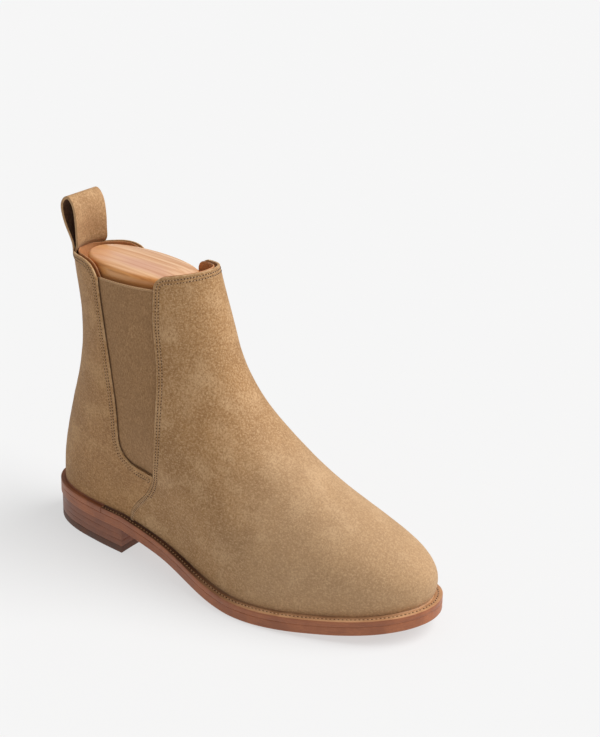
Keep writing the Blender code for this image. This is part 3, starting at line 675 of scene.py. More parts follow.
def strapRings():
    path = curveThrough(strap["path"], strap["along"])
    tangent = np.gradient(path, axis=0)
    tangent /= np.linalg.norm(tangent, axis=1)[:, None]
    normal = np.stack([tangent[:, 1], -tangent[:, 0]], -1)
    fade = 1 - smoothStep(path[:, 1], strap["hinge"], strap["peak"] - 6)
    thick = strap["skived"] + (strap["thickness"] - strap["skived"]) * smoothStep(
        path[:, 1], 196.4, 200.5)
    half, rings = strap["width"] / 2, []
    for i, (x, z) in enumerate(path):
        flat = np.linspace(-half + 0.35, half - 0.35, strap["across"])
        ring = [(y, 0.5) for y in flat] + [(half - 0.08, 0.3), (half, 0.0), (half - 0.08, -0.3)]
        ring += [(y, -0.5) for y in flat[::-1]]
        ring += [(-half + 0.08, -0.3), (-half, 0.0), (-half + 0.08, 0.3)]
        ring = np.array(ring)
        bow = (4.6 * (ring[:, 0] / half)**2 - 1.6) * fade[i]
        rings.append(np.stack([x + bow + normal[i, 0] * ring[:, 1] * thick[i], ring[:, 0],
                               z + normal[i, 1] * ring[:, 1] * thick[i]], -1))
    return np.array(rings)


loopRings = strapRings()
wave = rolling(loopRings, 61, 24) * 0.15 * smoothStep(loopRings[..., 2], 199, 212)
loopRings[..., 0] += wave
pullLoop = tube("pullLoopStrap", loopRings)
loopSide = np.abs(loopRings[..., 1].ravel())
numbersOn(pullLoop, "edgeDistance", strap["width"] / 2 - loopSide)

# the wooden block in the boot's leg
print("boot tree")
block = {"back": 30.5, "front": 117.5, "middle": -2.5, "halfWidth": 22.4, "bottom": 112.0,
         "top": 202.0, "edge": 3.6, "squareness": 2.3, "around": 160, "crown": 2.2,
         "slope": 0.03}


def blockRing(moved):                            # a rounded outline, moved in
    turn = np.linspace(0, 2 * math.pi, block["around"], endpoint=False)
    longHalf = (block["front"] - block["back"]) / 2 - moved
    shortHalf = block["halfWidth"] - moved
    sine = np.sign(np.sin(turn)) * np.abs(np.sin(turn)) ** (2 / block["squareness"])
    return np.stack([(block["back"] + block["front"]) / 2 - longHalf * np.cos(turn),
                     block["middle"] + shortHalf * sine], -1)


def blockMesh():
    edge, rings = block["edge"], []
    turns = np.linspace(0, math.pi / 2, 9)
    for t in turns:
        rings.append((1.2 * (1 - math.sin(t)), block["bottom"] + 1.2 * (1 - math.cos(t))))
    rim = block["top"] - block["crown"]
    for z in np.linspace(block["bottom"] + 3, rim - edge - 1, 8):
        rings.append((0.0, z))
    for t in turns:
        rings.append((edge * (1 - math.cos(t)), rim - edge * (1 - math.sin(t))))
    reach = block["halfWidth"] - 0.5 - edge
    for share in np.linspace(0.06, 1, 16):       # the domed top
        rings.append((edge + reach * share, rim + block["crown"] * (1 - (1 - share)**2)))
    around = block["around"]
    points = np.vstack([np.c_[blockRing(d), np.full(around, z)] for d, z in rings])
    middle = [(block["back"] + block["front"]) / 2, block["middle"]]
    points = np.vstack([points, [[*middle, block["bottom"]]], [[*middle, block["top"]]]])
    high = smoothStep(points[:, 2], rim - 30, rim)
    points[:, 2] -= (points[:, 0] - block["back"]) * block["slope"] * high
    return points, ringFaces(len(rings), around) + tipFaces(len(rings), around)


blockPoints, blockFaces = blockMesh()
treeBlock = turnOut(place("cedarBlock", blockPoints, blockFaces), 50)
# the "side" numbers mark where the deeper honey tone stays: the rounded rim, the sides and the
# back end beside the pull loop; the paler top tone elsewhere is a painted reflection of the white
# room
below = (block["top"] - block["crown"] - blockPoints[:, 2]
         - (blockPoints[:, 0] - block["back"]) * block["slope"])
unreflectedShare = np.maximum(smoothStep(below, -0.3, 1.2) * (1 - 0.55 * smoothStep(below, 5, 16)),
                        0.5 * (1 - smoothStep(blockPoints[:, 0], 38, 60)))
numbersOn(treeBlock, "side", unreflectedShare)

# stitches: a node tree lays threads and their holes along a row; each hole is a dark bead, painted
# shade in place of a real hole
print("stitches")


def addNode(tree, kind, inputs=None, **settings):
    node = tree.nodes.new(kind)
    for key, value in settings.items():
        setattr(node, key, value)
    for key, value in (inputs or {}).items():
        if isinstance(value, bpy.types.NodeSocket):
            tree.links.new(value, node.inputs[key])
        else:
            node.inputs[key].default_value = value
    return node


def stitchTree():
    tree = bpy.data.node_groups.new("stitchRow", "GeometryNodeTree")
    tree.interface.new_socket("Geometry", in_out="INPUT", socket_type="NodeSocketGeometry")
    sizes = (("Pitch", 0.0023), ("Thread Length", 0.0016), ("Thread Width", 0.0006),
             ("Thread Height", 0.0005), ("Hole Size", 0.0005))
    for label, value in sizes:
        socket = tree.interface.new_socket(label, in_out="INPUT", socket_type="NodeSocketFloat")
        socket.default_value = value
    for label in ("Thread", "Hole"):
        tree.interface.new_socket(label, in_out="INPUT", socket_type="NodeSocketMaterial")
    tree.interface.new_socket("Geometry", in_out="OUTPUT", socket_type="NodeSocketGeometry")

    def add(kind, inputs=None, output=0, **settings):
        return addNode(tree, kind, inputs, **settings).outputs[output]

    start, end = tree.nodes.new("NodeGroupInput"), tree.nodes.new("NodeGroupOutput")
    spaced = add("GeometryNodeResampleCurve", {
        "Curve": add("GeometryNodeMeshToCurve", {"Mesh": start.outputs["Geometry"]}),
        "Length": start.outputs["Pitch"]}, mode="LENGTH")
    outward = add("GeometryNodeInputNamedAttribute", {"Name": "outward"},
                  "Attribute", data_type="FLOAT_VECTOR")
    along = add("FunctionNodeAlignRotationToVector", {
        "Rotation": add("FunctionNodeAlignRotationToVector", {"Vector": outward}, axis="Z"),
        "Vector": add("GeometryNodeInputTangent")}, axis="X", pivot_axis="Z")

    def beads(segments, rings, sizes, material, shift=None):
        moves = {"Geometry": add("GeometryNodeMeshUVSphere", {
                     "Segments": segments, "Rings": rings, "Radius": 0.5}, "Mesh"),
                 "Scale": add("ShaderNodeCombineXYZ", dict(zip(("X", "Y", "Z"), sizes)))}
        if shift:
            half = add("ShaderNodeMath", {0: shift, 1: 0.5}, operation="MULTIPLY")
            moves["Translation"] = add("ShaderNodeCombineXYZ", {"X": half})
        smooth = add("GeometryNodeSetShadeSmooth",
                     {"Geometry": add("GeometryNodeTransform", moves)})
        laid = add("GeometryNodeInstanceOnPoints",
                   {"Points": spaced, "Instance": smooth, "Rotation": along})
        real = add("GeometryNodeRealizeInstances", {"Geometry": laid})
        return add("GeometryNodeSetMaterial", {"Geometry": real, "Material": material})

    o = start.outputs
    both = tree.nodes.new("GeometryNodeJoinGeometry")
    threads = beads(8, 6, [o[f"Thread {side}"] for side in ("Length", "Width", "Height")],
                    o["Thread"])
    for made in (threads, beads(7, 4, [o["Hole Size"]] * 3, o["Hole"], o["Pitch"])):
        tree.links.new(made, both.inputs["Geometry"])
    tree.links.new(both.outputs["Geometry"], end.inputs["Geometry"])
    return tree


stitchNodes = stitchTree()
thread = {"suede": (2.0, 1.05, 0.6, 0.5, 0.85), "bars": (1.7, 0.8, 3.4, 0.8, 0.5),
          "welt": (2.6, 1.5, 1.0, 0.75, 1.0)}


def surfaceSteps(line, shift):                   # a shift in space as one of angle and v
    small = 1e-4
    step = np.array([[small, 0], [0, small]])
    across, along = ((upper(*(line + way).T) - upper(*(line - way).T)) / (2 * small)
                     for way in step)
    a, b, c = ((p * q).sum(-1) for p, q in ((across, across), (across, along), (along, along)))
    first, second = (across * shift).sum(-1), (along * shift).sum(-1)
    return np.stack([first * c - second * b, second * a - first * b], -1) / (
        a * c - b * b)[:, None]


def rowLine(area, distance, relief, depth, edges, limits):
    # the line at a distance from the cut edges: its points and the way out of the leather
    wanted = [line for line, used in zip((area[::-1, 0], area[0], area[:, -1]),
                                         (edges[1], edges[0], edges[2])) if used]
    rim = joined(*wanted)
    length = lengthsAlong(upper(*rim.T), 0)
    places = np.arange(0, length[-1], 0.6)
    rim = np.stack([np.interp(places, length, rim[:, k]) for k in (0, 1)], -1)
    points, normal = upper(*rim.T), faceNormal(*rim.T)
    inwards = np.cross(normal, np.gradient(points, axis=0))
    inwards /= np.linalg.norm(inwards, axis=1)[:, None]
    middle = upper(area[..., 0], area[..., 1]).reshape(-1, 3).mean(0)
    inwards *= np.sign(((middle - points) * inwards).sum())
    line = rim + surfaceSteps(rim, inwards * distance)
    spots = upper(*line.T)
    keep = (distancesTo(spots, points) > distance - 0.12) & limits(spots)
    line, spots = line[keep], spots[keep]
    normal = faceNormal(*line.T)
    lift = relief(spots, np.full(len(spots), distance), line)
    return spots + normal * (lift - depth)[:, None], normal


def stitchLines(name, lines, kind, threadMaterial, holeShadeMaterial):
    points, normals, edges = [], [], []
    for line, normal in lines:
        start = sum(len(p) for p in points)
        steps = np.linalg.norm(np.diff(line, axis=0), axis=1)
        edges += [(start + i, start + i + 1) for i in range(len(line) - 1) if steps[i] < 6]
        points.append(line)
        normals.append(normal)
    mesh = bpy.data.meshes.new(name)
    mesh.from_pydata([tuple(p) for p in toWorld(np.vstack(points))], edges, [])
    layer = mesh.attributes.new("outward", "FLOAT_VECTOR", "POINT")
    layer.data.foreach_set("vector", np.vstack(normals).astype(np.float32).ravel())
    guide = bpy.data.objects.new(name, mesh)
    bpy.context.scene.collection.objects.link(guide)
    maker = guide.modifiers.new("Stitches", "NODES")
    maker.node_group = stitchNodes
    sizes = dict(zip(("Pitch", "Thread Length", "Thread Width", "Thread Height", "Hole Size"),
                     (size * mm for size in thread[kind])))
    sizes.update({"Thread": threadMaterial, "Hole": holeShadeMaterial})
    for item in stitchNodes.interface.items_tree:
        if item.in_out == "INPUT" and item.name in sizes:
            maker[item.identifier] = sizes[item.name]
    view = bpy.context.evaluated_depsgraph_get()
    made = bpy.data.meshes.new_from_object(guide.evaluated_get(view))
    bpy.data.objects.remove(guide, do_unlink=True)
    piece = bpy.data.objects.new(name, made)
    bpy.context.scene.collection.objects.link(piece)
    return piece


# finishes
print("materials")


def stretched(tree, vector, scale, turn=(0, 0, 0)):
    return addNode(tree, "ShaderNodeMapping",
                   {"Vector": vector, "Scale": scale, "Rotation": turn}).outputs["Vector"]


def noiseOf(tree, vector, scale, detail=3.0, roughness=0.5):
    return addNode(tree, "ShaderNodeTexNoise", {"Vector": vector, "Scale": scale,
                   "Detail": detail, "Roughness": roughness}).outputs["Fac"]


def between(tree, value, low, high, toLow=0.0, toHigh=1.0):
    return addNode(tree, "ShaderNodeMapRange", {"Value": value, "From Min": low,
                   "From Max": high, "To Min": toLow, "To Max": toHigh},
                   interpolation_type="SMOOTHSTEP").outputs["Result"]


def maths(tree, operation, a, b=0.0):
    return addNode(tree, "ShaderNodeMath", {0: a, 1: b}, operation=operation).outputs[0]


def blended(tree, share, a, b):
    return addNode(tree, "ShaderNodeMix", {0: share, 6: a, 7: b}, data_type="RGBA").outputs[2]


def tinted(tree, colour, *layers):               # each: a mask, its range, strengths, a tone
    for mask, low, high, least, most, other in layers:
        colour = blended(tree, between(tree, mask, low, high, least, most), colour, other)
    return colour


def named(tree, attribute):
    return addNode(tree, "ShaderNodeAttribute", attribute_name=attribute).outputs["Fac"]


def tone(r, g, b):
    return (r, g, b, 1.0)


def newGroup(name, *outputs, **inputs):          # inputs: a number, or a kind of socket
    tree = bpy.data.node_groups.new(name, "ShaderNodeTree")
    for label, value in inputs.items():
        kind = value if isinstance(value, str) else "Float"
        socket = tree.interface.new_socket(label, in_out="INPUT",
                                           socket_type="NodeSocket" + kind)
        if kind == "Float":
            socket.default_value = value
    for label in outputs:
        kind = "Color" if label == "Colour" else "Float"
        tree.interface.new_socket(label, in_out="OUTPUT", socket_type="NodeSocket" + kind)
    result = tree.nodes.new("NodeGroupOutput")

    def give(*sources):
        for label, source in zip(outputs, sources):
            tree.links.new(source, result.inputs[label])
        return tree
    return tree, tree.nodes.new("NodeGroupInput").outputs, give


def suedeGroup():                                # a brushed nap: patches, strokes and fibres
    tree, given, give = newGroup("suedeNap", "Colour", "Roughness", "Height", Vector="Vector",
                                 Colour="Color", Shade="Color", Bright="Color", Patch=34.0,
                                 Fibre=2100.0)
    vector, shade, bright = given["Vector"], given["Shade"], given["Bright"]
    patches = noiseOf(tree, vector, given["Patch"], 4, 0.6)
    brushed = noiseOf(tree, stretched(tree, vector, (34, 60, 52), (0.5, 0.3, 0.7)), 1.0, 5, 0.6)
    strokes, cross = (noiseOf(tree, stretched(tree, vector, scale, turn), 1.0, 4, 0.65)
                      for scale, turn in (((430, 900, 1150), (0.4, 0.5, 0.6)),
                                          ((1300, 620, 480), (0.2, 0.9, 0.1))))
    fibres = noiseOf(tree, vector, given["Fibre"], 3, 0.7)
    clumps = noiseOf(tree, vector, 780.0, 4, 0.7)
    colour = tinted(tree, given["Colour"], (patches, 0.32, 0.62, 0.55, 0.0, shade),
                    (brushed, 0.47, 0.70, 0.0, 0.65, bright),
                    (strokes, 0.47, 0.66, 0.0, 0.62, bright),
                    (cross, 0.47, 0.66, 0.0, 0.62, shade),
                    (clumps, 0.5, 0.66, 0.0, 0.62, bright),
                    (clumps, 0.34, 0.5, 0.7, 0.0, shade))
    height = maths(tree, "ADD", maths(tree, "MULTIPLY", fibres, 0.6),
                   maths(tree, "MULTIPLY", clumps, 0.5))
    height = maths(tree, "ADD", height, maths(tree, "MULTIPLY", strokes, 0.4))
    return give(colour, between(tree, fibres, 0.3, 0.7, 0.64, 0.82), height)


def grainGroup():                                # smooth leather: pores, creases and clouding
    tree, given, give = newGroup("leatherGrain", "Colour", "Roughness", "Height",
                                 Vector="Vector", Colour="Color", Shade="Color", Grain=900.0,
                                 Smooth=0.35, Rough=0.6)
    vector, shade = given["Vector"], given["Shade"]
    cells = addNode(tree, "ShaderNodeTexVoronoi", {"Vector": vector, "Scale": given["Grain"]},
                    feature="DISTANCE_TO_EDGE").outputs["Distance"]
    clouds = noiseOf(tree, vector, 60.0, 4, 0.6)
    fine = noiseOf(tree, vector, 1400.0, 2, 0.6)
    colour = tinted(tree, shade, (clouds, 0.35, 0.68, 0.0, 1.0, given["Colour"]),
                    (cells, 0.0, 0.12, 0.35, 0.0, shade))
    height = maths(tree, "ADD", between(tree, cells, 0.0, 0.2),
                   maths(tree, "MULTIPLY", fine, 0.5))
    rough = addNode(tree, "ShaderNodeMapRange", {"Value": clouds, "From Min": 0.3,
                    "From Max": 0.7, "To Min": given["Smooth"], "To Max": given["Rough"]})
    return give(colour, rough.outputs["Result"], height)


def wearHighlightGroup():                                 # lighter cut edges, from the edge's distance: partly rubbed wear, partly a painted highlight on the rounded edge
    tree, given, give = newGroup("edgeWearHighlight", "Colour", "Mask", Colour="Color", Worn="Color",
                                 Distance=5.0, Width=0.7, Amount=0.6, Vector="Vector")
    near = addNode(tree, "ShaderNodeMapRange", {"Value": given["Distance"], "From Min": 0.0,
                   "From Max": given["Width"], "To Min": given["Amount"],
                   "To Max": 0.0}).outputs["Result"]
    patchy = between(tree, noiseOf(tree, given["Vector"], 260.0, 3, 0.6), 0.3, 0.65)
    mask = maths(tree, "MULTIPLY", near, patchy)
    return give(blended(tree, mask, given["Colour"], given["Worn"]), mask)


def stackGroup():                                # the fine lines of stacked leather
    tree, given, give = newGroup("stackedLayers", "Colour", "Height", Vector="Vector",
                                 Colour="Color", Line="Color", Layers=1.0)
    wander = maths(tree, "MULTIPLY", noiseOf(tree, given["Vector"], 55.0, 3, 0.5), 1.6)
    turn = maths(tree, "MULTIPLY", maths(tree, "ADD", named(tree, "layer"), wander),
                 given["Layers"])
    bands = noiseOf(tree, addNode(tree, "ShaderNodeCombineXYZ", {"X": turn}).outputs["Vector"],
                    2.2, 2, 0.6)
    smears = noiseOf(tree, stretched(tree, given["Vector"], (60, 60, 900)), 1.0, 4, 0.6)
    mask = maths(tree, "MAXIMUM", between(tree, bands, 0.5, 0.72, 0.0, 0.55),
                 between(tree, smears, 0.5, 0.75, 0.0, 0.5))
    return give(blended(tree, mask, given["Colour"], given["Line"]),
                maths(tree, "SUBTRACT", 1.0, mask))


suedeNap, leatherGrain, edgeWearHighlight, stackedLayers = (suedeGroup(), grainGroup(), wearHighlightGroup(),
                                                   stackGroup())


def newMaterial(name, **constants):
    made = bpy.data.materials.new(name)
    made.use_nodes = True
    tree = made.node_tree
    shader = tree.nodes["Principled BSDF"]
    for key, value in constants.items():
        shader.inputs[key.replace("_", " ")].default_value = value
    return made, tree, shader, tree.nodes.new("ShaderNodeTexCoord").outputs["Object"]


def useGroup(tree, group, inputs):
    return addNode(tree, "ShaderNodeGroup", inputs, node_tree=group).outputs


def dress(tree, shader, colour, roughness, height, strength, distance):
    bump = addNode(tree, "ShaderNodeBump", {"Height": height, "Strength": strength,
                   "Distance": distance * mm})
    for key, source in (("Base Color", colour), ("Roughness", roughness),
                        ("Normal", bump.outputs["Normal"])):
        tree.links.new(source, shader.inputs[key])


def suedeMaterial(name, colour, shade, bright, wornHighlight=None, patch=34.0, toe=None):
    made, tree, shader, vector = newMaterial(
        name, Sheen_Weight=0.12, Sheen_Roughness=0.45, Sheen_Tint=tone(1.0, 0.86, 0.68),
        Specular_IOR_Level=0.3)
    nap = useGroup(tree, suedeNap, {"Vector": vector, "Colour": colour, "Shade": shade,
                   "Bright": bright, "Patch": patch})
    final = nap["Colour"]
    if toe:                                      # painted highlight: lighter towards the toe, where the light falls
        ahead = addNode(tree, "ShaderNodeSeparateXYZ", {"Vector": vector}).outputs["X"]
        final = tinted(tree, final, (ahead, 0.0, 0.07, 0.0, 0.30, toe))
    # lighter cut edges: partly rubbed wear, partly a painted highlight on the rounded edge
    if wornHighlight:
        final = useGroup(tree, edgeWearHighlight, {
            "Colour": final, "Worn": wornHighlight, "Vector": vector, "Width": 0.8, "Amount": 0.8,
            "Distance": named(tree, "edgeDistance")})["Colour"]
    dress(tree, shader, final, nap["Roughness"], nap["Height"], 0.75, 0.45)
    return made


def leatherMaterial(name, colour, shade, grain=900.0, smooth=0.35, rough=0.6, bump=0.25,
                    line=None, layers=1.0, wornHighlight=None, **constants):
    made, tree, shader, vector = newMaterial(name, **constants)
    grainOut = useGroup(tree, leatherGrain, {"Vector": vector, "Colour": colour,
                        "Shade": shade, "Grain": grain, "Smooth": smooth, "Rough": rough})
    final, height = grainOut["Colour"], grainOut["Height"]
    if line:
        stack = useGroup(tree, stackedLayers, {"Vector": vector, "Colour": final, "Line": line,
                         "Layers": layers})
        final = stack["Colour"]
        height = maths(tree, "ADD", stack["Height"], maths(tree, "MULTIPLY", height, 0.25))
    # lighter cut edges: partly rubbed wear, partly a painted highlight on the rounded edge
    if wornHighlight:
        final = useGroup(tree, edgeWearHighlight, {"Colour": final, "Worn": wornHighlight, "Vector": vector,
                         "Distance": named(tree, "edgeDistance")})["Colour"]
    dress(tree, shader, final, grainOut["Roughness"], height, bump, 0.2)
    return made


suedeTones = {"colour": tone(0.41, 0.224, 0.091), "shade": tone(0.285, 0.143, 0.052),
              "bright": tone(0.60, 0.38, 0.20), "wornHighlight": tone(0.62, 0.41, 0.22)}
# the toe tone is a painted highlight on the lit toe
frontSuede = suedeMaterial("sandSuedeFront", **suedeTones, toe=tone(0.60, 0.42, 0.26))
backSuede = suedeMaterial("sandSuedeBack", tone(0.41, 0.212, 0.081), tone(0.275, 0.132, 0.046),
                          tone(0.57, 0.34, 0.155), suedeTones["wornHighlight"])
loopSuede = suedeMaterial("sandSuedeLoop", tone(0.44, 0.245, 0.110), tone(0.31, 0.162, 0.066),
                          tone(0.60, 0.375, 0.195), tone(0.50, 0.30, 0.145), 60.0)
# a darker brown suede for the strap's inner faces
loopInsideDark = suedeMaterial("loopInsideDark", tone(0.13, 0.050, 0.017), tone(0.09, 0.034, 0.011),
                             tone(0.19, 0.082, 0.032), None, 60.0)
liningLeather = leatherMaterial("tanLining", tone(0.58, 0.27, 0.115), tone(0.42, 0.175, 0.068),
                                800.0, 0.4, 0.62, 0.3, wornHighlight=tone(0.62, 0.33, 0.16),
                                Specular_IOR_Level=0.3)
soleLeather = leatherMaterial("burnishedSole", tone(0.42, 0.148, 0.064), tone(0.30, 0.100, 0.044),
                              500.0, 0.34, 0.56, 0.3, line=tone(0.20, 0.068, 0.032),
                              layers=1.0, Coat_Weight=0.05, Coat_Roughness=0.28,
                              Specular_IOR_Level=0.35)
heelLeather = leatherMaterial("burnishedHeel", tone(0.30, 0.106, 0.051),
                              tone(0.205, 0.072, 0.036), 500.0, 0.32, 0.54, 0.3,
                              line=tone(0.145, 0.052, 0.028), layers=1.3, Coat_Weight=0.05,
                              Coat_Roughness=0.28, Specular_IOR_Level=0.35)
topPieceRubber = leatherMaterial("topPieceRubberFinish", tone(0.205, 0.082, 0.045),
                                 tone(0.110, 0.050, 0.032), 1300.0, 0.42, 0.7, 0.3,
                                 line=tone(0.100, 0.045, 0.030), layers=0.8,
                                 Specular_IOR_Level=0.3)
insoleLeather = leatherMaterial("insoleLeather", tone(0.55, 0.36, 0.20), tone(0.42, 0.25, 0.13),
                                600.0, 0.5, 0.75, 0.3)
sockLeather = leatherMaterial("sockLeather", tone(0.46, 0.21, 0.09), tone(0.32, 0.13, 0.055),
                              800.0, 0.45, 0.65, 0.3)
stiffenerBoard = leatherMaterial("stiffenerBoard", tone(0.62, 0.52, 0.40),
                                 tone(0.50, 0.40, 0.29), 1200.0, 0.7, 0.9, 0.2)
corkPaste = leatherMaterial("corkPaste", tone(0.38, 0.22, 0.11), tone(0.16, 0.08, 0.04),
                            420.0, 0.8, 0.95, 0.6)
shankSteel = leatherMaterial("springSteel", tone(0.55, 0.55, 0.57), tone(0.42, 0.42, 0.44),
                             2600.0, 0.22, 0.36, 0.05, Metallic=1.0)
nailBrass = leatherMaterial("brassNail", tone(0.72, 0.50, 0.20), tone(0.52, 0.34, 0.12),
                            2600.0, 0.25, 0.4, 0.05, Metallic=1.0)


def weltMaterial():                              # darker at the waist, partly a dark stain and partly painted shade under the arch; tan round the forepart
    made, tree, shader, vector = newMaterial("weltLeather", Specular_IOR_Level=0.35)
    ahead = addNode(tree, "ShaderNodeSeparateXYZ", {"Vector": vector}).outputs["X"]
    # the dark waist tone: partly a stain, partly painted shade under the arch
    share = between(tree, ahead, -0.015, 0.075)
    grain = useGroup(tree, leatherGrain, {
        "Vector": vector, "Grain": 700.0, "Smooth": 0.38, "Rough": 0.6,
        "Colour": blended(tree, share, tone(0.20, 0.085, 0.038), tone(0.60, 0.335, 0.17)),
        "Shade": blended(tree, share, tone(0.12, 0.048, 0.021), tone(0.43, 0.215, 0.10))})
    dress(tree, shader, grain["Colour"], grain["Roughness"], grain["Height"], 0.25, 0.2)
    return made


def elasticMaterial():                           # knitted ribs under a short brushed pile
    made, tree, shader, vector = newMaterial("goreElastic", Sheen_Weight=0.06,
                                             Specular_IOR_Level=0.3)
    nubs = noiseOf(tree, vector, 820.0, 4, 0.7)
    slant = noiseOf(tree, stretched(tree, vector, (1400, 700, 520), (0.2, 0.8, 0.0)), 1.0, 4, 0.65)
    mottle = noiseOf(tree, vector, 130.0, 3, 0.6)
    fluff = noiseOf(tree, vector, 2200.0, 2, 0.7)
    colour = tinted(tree, tone(0.355, 0.196, 0.086),
                    (named(tree, "rib"), 0.0, 1.0, 0.0, 1.0, tone(0.405, 0.226, 0.103)),
                    (nubs, 0.36, 0.62, 0.75, 0.0, tone(0.235, 0.125, 0.052)),
                    (slant, 0.48, 0.68, 0.0, 0.6, tone(0.54, 0.325, 0.16)),
                    (mottle, 0.35, 0.7, 0.0, 0.35, tone(0.30, 0.165, 0.075)))
    # painted shade: the elastic goes nearly black next to the quarter's and vamp's edges
    colour = blended(tree, named(tree, "seam"), colour, tone(0.075, 0.034, 0.013))
    height = maths(tree, "ADD", maths(tree, "MULTIPLY", nubs, 0.9), fluff)
    dress(tree, shader, colour, between(tree, fluff, 0.3, 0.7, 0.75, 0.95), height, 0.6, 0.3)
    return made


def diagonalWave(tree, vector, scale, distortion):
    return addNode(tree, "ShaderNodeTexWave", {"Vector": vector, "Scale": scale,
                   "Distortion": distortion}, bands_direction="DIAGONAL").outputs["Fac"]


def bindingMaterial():                           # a woven tape
    made, tree, shader, vector = newMaterial("bindingTape", Sheen_Weight=0.2,
                                             Specular_IOR_Level=0.25)
    weave = diagonalWave(tree, vector, 420.0, 0.6)
    mottle = noiseOf(tree, vector, 240.0, 3, 0.6)
    colour = tinted(tree, tone(0.33, 0.180, 0.080),
                    (weave, 0.2, 0.8, 0.0, 1.0, tone(0.52, 0.32, 0.165)),
                    (mottle, 0.4, 0.7, 0.0, 0.4, tone(0.38, 0.21, 0.095)))
    dress(tree, shader, colour, between(tree, mottle, 0.3, 0.7, 0.7, 0.9), weave, 0.5, 0.2)
    return made


def threadMaterial(name, colour, dark):
    made, tree, shader, vector = newMaterial(name, Sheen_Weight=0.15)
    twist = diagonalWave(tree, vector, 900.0, 1.0)
    fade = noiseOf(tree, vector, 160.0, 3, 0.6)
    tint = tinted(tree, dark, (twist, 0.2, 0.8, 0.0, 1.0, colour),
                  (fade, 0.4, 0.7, 0.0, 0.4, dark))
    dress(tree, shader, tint, between(tree, fade, 0.3, 0.7, 0.5, 0.75), twist, 0.4, 0.1)
    return made


# a needle hole as a dark bead: painted shade, not a real hole in the leather
def holeShadeMaterial(name, colour):
    made, tree, shader, vector = newMaterial(name)
    depth = noiseOf(tree, vector, 900.0, 2, 0.5)
    tint = tinted(tree, colour, (depth, 0.3, 0.7, 0.0, 1.0,
                                 tone(*(0.6 * c for c in colour[:3]))))
    dress(tree, shader, tint, between(tree, depth, 0.3, 0.7, 0.8, 1.0), depth, 0.3, 0.1)
    return made


def woodMaterial():                              # polished cedar, its grain along the block
    made, tree, shader, vector = newMaterial("polishedCedar", Coat_Weight=0.22,
                                             Coat_Roughness=0.2, Specular_IOR_Level=0.35)
    drift = addNode(tree, "ShaderNodeTexNoise", {"Vector": stretched(tree, vector, (9, 30, 30)),
                    "Scale": 1.0, "Detail": 2.0}).outputs["Color"]
    bent = addNode(tree, "ShaderNodeVectorMath", {0: vector, 1: addNode(
        tree, "ShaderNodeVectorMath", {0: drift, 1: (0.004, 0.007, 0.007)},
        operation="MULTIPLY").outputs[0]}, operation="ADD").outputs[0]
    rings, broad, streaks, pink = (
        noiseOf(tree, stretched(tree, bent, scale, turn), 1.0, detail, roughness)
        for scale, turn, detail, roughness in (
            ((4, 380, 260), (0, 0, 0), 3, 0.55), ((6, 90, 60), (0, 0, 0), 3, 0.55),
            ((12, 1100, 700), (0, 0, 0), 3, 0.6), ((11, 50, 30), (0, 0, 0.15), 2, 0.5)))
    colour = tinted(tree, tone(0.60, 0.30, 0.145),
                    (rings, 0.36, 0.60, 0.0, 1.0, tone(0.80, 0.50, 0.29)),
                    (broad, 0.5, 0.7, 0.0, 0.45, tone(0.66, 0.33, 0.15)),
                    (pink, 0.5, 0.66, 0.0, 0.65, tone(0.60, 0.31, 0.23)),
                    (streaks, 0.52, 0.7, 0.0, 0.4, tone(0.48, 0.20, 0.08)))
    unreflectedHoney = tinted(tree, tone(0.66, 0.27, 0.075),
                   (broad, 0.2, 0.8, 0.0, 1.0, tone(0.90, 0.50, 0.20)),
                   (rings, 0.5, 0.68, 0.0, 0.5, tone(0.40, 0.13, 0.03)))
    # painted reflection: the top's paler tone stands for the white room mirrored in the polish,
    # the honey tone for where that reflection is missing
    colour = blended(tree, named(tree, "side"), colour, unreflectedHoney)
    height = maths(tree, "ADD", streaks, maths(tree, "MULTIPLY", rings, 0.5))
    dress(tree, shader, colour, between(tree, rings, 0.3, 0.7, 0.38, 0.28), height, 0.12, 0.2)
    return made


elasticKnit, tapeWeave, cedar = elasticMaterial(), bindingMaterial(), woodMaterial()
weltLeather = weltMaterial()
suedeThread = threadMaterial("tanThread", tone(0.68, 0.46, 0.27), tone(0.44, 0.26, 0.13))
weltThread = threadMaterial("weltThread", tone(0.72, 0.47, 0.27), tone(0.42, 0.23, 0.11))
suedeHoleShade = holeShadeMaterial("needleHoleShade", tone(0.085, 0.042, 0.020))
weltHoleShade = holeShadeMaterial("weltHoleShade", tone(0.12, 0.046, 0.020))

# every piece gets its finish and the body that carries it
print("fitting")


def finish(piece, made, slot, nodes, body="boot"):
    piece.data.materials.clear()
    piece.data.materials.append(made)
    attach(piece, body)
    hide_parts(*nodes)


for gore, grid, side in ((goreLateral, goreGrid, 1), (goreMedial, otherSide(goreGrid), -1)):
    across = lengthsAlong(upper(grid[..., 0], grid[..., 1]), 1)
    rib = (0.5 + 0.5 * np.cos(across / elastic["pitch"] * 2 * math.pi)).ravel()
    numbersOn(gore, "rib", np.r_[rib, rib])
    points = upper(grid[..., 0], grid[..., 1])
    sides = [upper(*locate(curveThrough(upperShape[key], 400), side).T)
             for key in ("goreBack", "goreFront")]
    near = distancesTo(points, np.vstack(sides)).ravel()
    # the "seam" numbers mark painted shade where the thick edges of the quarter and vamp shadow
    # the elastic
    numbersOn(gore, "seam", 0.9 * np.tile(np.clip(1 - near / elastic["seamShade"], 0, 1), 2))

